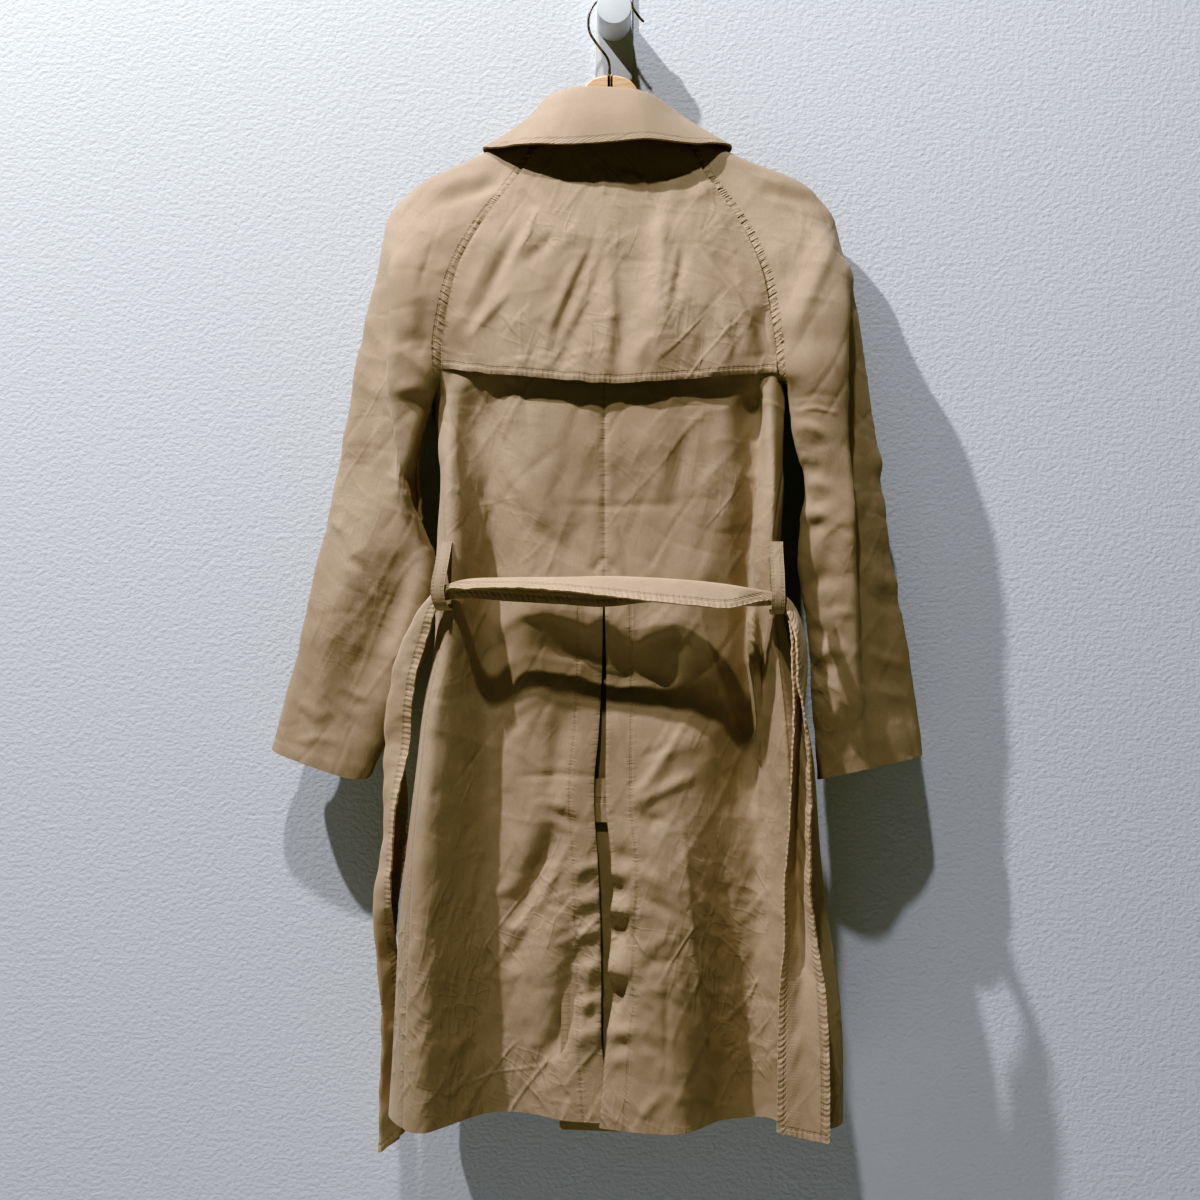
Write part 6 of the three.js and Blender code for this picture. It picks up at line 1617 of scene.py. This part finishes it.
def turned(name, y0, y1, radius, edge0, edge1, material, around=96):
    prof = [(0.0, y0)]
    for k in range(5):
        t = math.pi / 2 * k / 4
        prof.append((radius - edge0 * (1 - math.sin(t)), y0 - edge0 * (1 - math.cos(t))))
    for k in range(4, -1, -1):
        t = math.pi / 2 * k / 4
        prof.append((radius - edge1 * (1 - math.sin(t)), y1 + edge1 * (1 - math.cos(t))))
    prof.append((0.0, y1))
    verts, faces = [], []
    for r, y in prof[1:-1]:
        verts += [(r * math.cos(a), y, r * math.sin(a)) for a in np.linspace(0, 2 * math.pi, around, endpoint=False)]
    n = around
    for k in range(len(prof) - 3):
        for i in range(n):
            j = (i + 1) % n
            faces.append((k * n + i, k * n + j, (k + 1) * n + j, (k + 1) * n + i))
    faces.append(tuple(range(n)))
    faces.append(tuple(range((len(prof) - 3) * n, (len(prof) - 2) * n)))
    return mesh_from(name, verts, faces, material, 50)


for name, y0, y1, e0, e1, mat in (("wall_peg", -5.3, -50.0, 0.3, 0.4, PAINT), ("peg_cap", -50.3, -52.3, 0.3, 0.9, FACE)):
    obj = turned(name, y0, y1, 18.0, e0, e1, mat)
    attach(obj, "root"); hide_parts(name)
    PIECES[name] = obj
corner = [(-20, -115), (20, -115), (20, 45), (-20, 45)]
outline = []
for cx, cz, a0 in ((-17, -112, 180), (17, -112, 270), (17, 42, 0), (-17, 42, 90)):
    for k in range(9):
        a = math.radians(a0 + 90 * k / 8)
        outline.append((cx + 3 * math.cos(a), cz + 3 * math.sin(a)))
obj = rounded_plate("wall_plate", outline, 0.0, -5.0, 0.8, PAINT, 3)
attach(obj, "root"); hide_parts("wall_plate")
PIECES["wall_plate"] = obj

# ------------------------------------------------------------------ floor, wall, light, camera
def stage_plane(name, corners, material):
    mesh = bpy.data.meshes.new(name)
    mesh.from_pydata(corners, [], [(0, 1, 2, 3)])
    mesh.materials.append(material)
    obj = bpy.data.objects.new(name, mesh)
    bpy.context.scene.collection.objects.link(obj)
    return obj


def plaster(name, base, see_through):
    g = Graph(name)
    tone = g.noise(g.space(), 1.2, 3.0)
    grain = g.noise(g.space((1, 1, 1.2)), 190.0, 3.0, 0.55)
    g.set("Base Color", g.mix(g.step(tone, 0.3, 0.7), base, tuple(c * 0.97 for c in base)))
    g.set("Roughness", 0.9)
    g.bump(g.mul(grain, 1.1))
    if see_through:
        geo = g.nt.nodes.new("ShaderNodeNewGeometry")
        clear = g.nt.nodes.new("ShaderNodeBsdfTransparent")
        both = g.nt.nodes.new("ShaderNodeMixShader")
        g.link(geo.outputs["Backfacing"], both.inputs[0])
        g.link(g.bsdf.outputs[0], both.inputs[1])
        g.link(clear.outputs[0], both.inputs[2])
        g.link(both.outputs[0], g.out.inputs["Surface"])
    return g.mat


stage_plane("floor", [(-3, -3.5, -1.9), (3, -3.5, -1.9), (3, 1.2, -1.9), (-3, 1.2, -1.9)], plaster("pale_floor", (0.62, 0.61, 0.59), False))
stage_plane("wall", [(-3, 0.0006, -1.9), (3, 0.0006, -1.9), (3, 0.0006, 1.2), (-3, 0.0006, 1.2)], plaster("pale_wall", (0.60, 0.645, 0.70), True))

world_data = bpy.data.worlds.new("pale")
bpy.context.scene.world = world_data
world_data.use_nodes = True
bg = world_data.node_tree.nodes["Background"]
bg.inputs[0].default_value = (0.93, 0.96, 1.0, 1.0)
bg.inputs[1].default_value = 0.036


def lamp(name, at, aim, size, watts, color=(1, 1, 1)):
    data = bpy.data.lights.new(name, "AREA")
    data.shape = "DISK"
    data.size = size
    data.energy = watts
    data.color = color
    obj = bpy.data.objects.new(name, data)
    obj.location = at
    obj.rotation_euler = (Vector(aim) - Vector(at)).to_track_quat("-Z", "Y").to_euler()
    bpy.context.scene.collection.objects.link(obj)
    return obj


lamp("key_left", (-1.5, -1.1, 1.9), (0.0, -0.08, -0.55), 0.07, 98.0, (1.0, 0.97, 0.93))
lamp("key_top", (-0.34, -1.5, 2.15), (0.0, -0.08, -0.55), 0.12, 62.0, (1.0, 0.975, 0.94))
lamp("fill", (-0.6, -3.0, -0.2), (0.0, 0.0, -0.7), 1.6, 0.9)

cam_data = bpy.data.cameras.new("camera")
cam_data.sensor_width = 36.0
cam_data.lens = 42.0
cam_data.clip_end = 50.0
cam = bpy.data.objects.new("camera", cam_data)
cam.location = (CAM["x"] / 1000, -CAM["dist"] / 1000, CAM["z"] / 1000)
cam.rotation_euler = (math.radians(90), 0, 0)
bpy.context.scene.collection.objects.link(cam)
bpy.context.scene.camera = cam
bpy.context.scene.view_settings.view_transform = "Standard"
bpy.context.scene.view_settings.look = "None"
bpy.context.scene.view_settings.use_curve_mapping = True
# a camera's toe: the deepest shade of the cloth is darker and browner than the light alone makes it
tone = bpy.context.scene.view_settings.curve_mapping.curves[3]
for x, y in ((0.015, 0.002), (0.03, 0.007), (0.05, 0.016), (0.07, 0.030), (0.105, 0.060), (0.15, 0.110), (0.2, 0.172), (0.27, 0.258), (0.35, 0.352)):
    tone.points.new(x, y)
blue = bpy.context.scene.view_settings.curve_mapping.curves[2]
for x, y in ((0.012, 0.006), (0.025, 0.014), (0.053, 0.032), (0.089, 0.066), (0.133, 0.122), (0.2, 0.2)):
    blue.points.new(x, y)
bpy.context.scene.view_settings.curve_mapping.update()
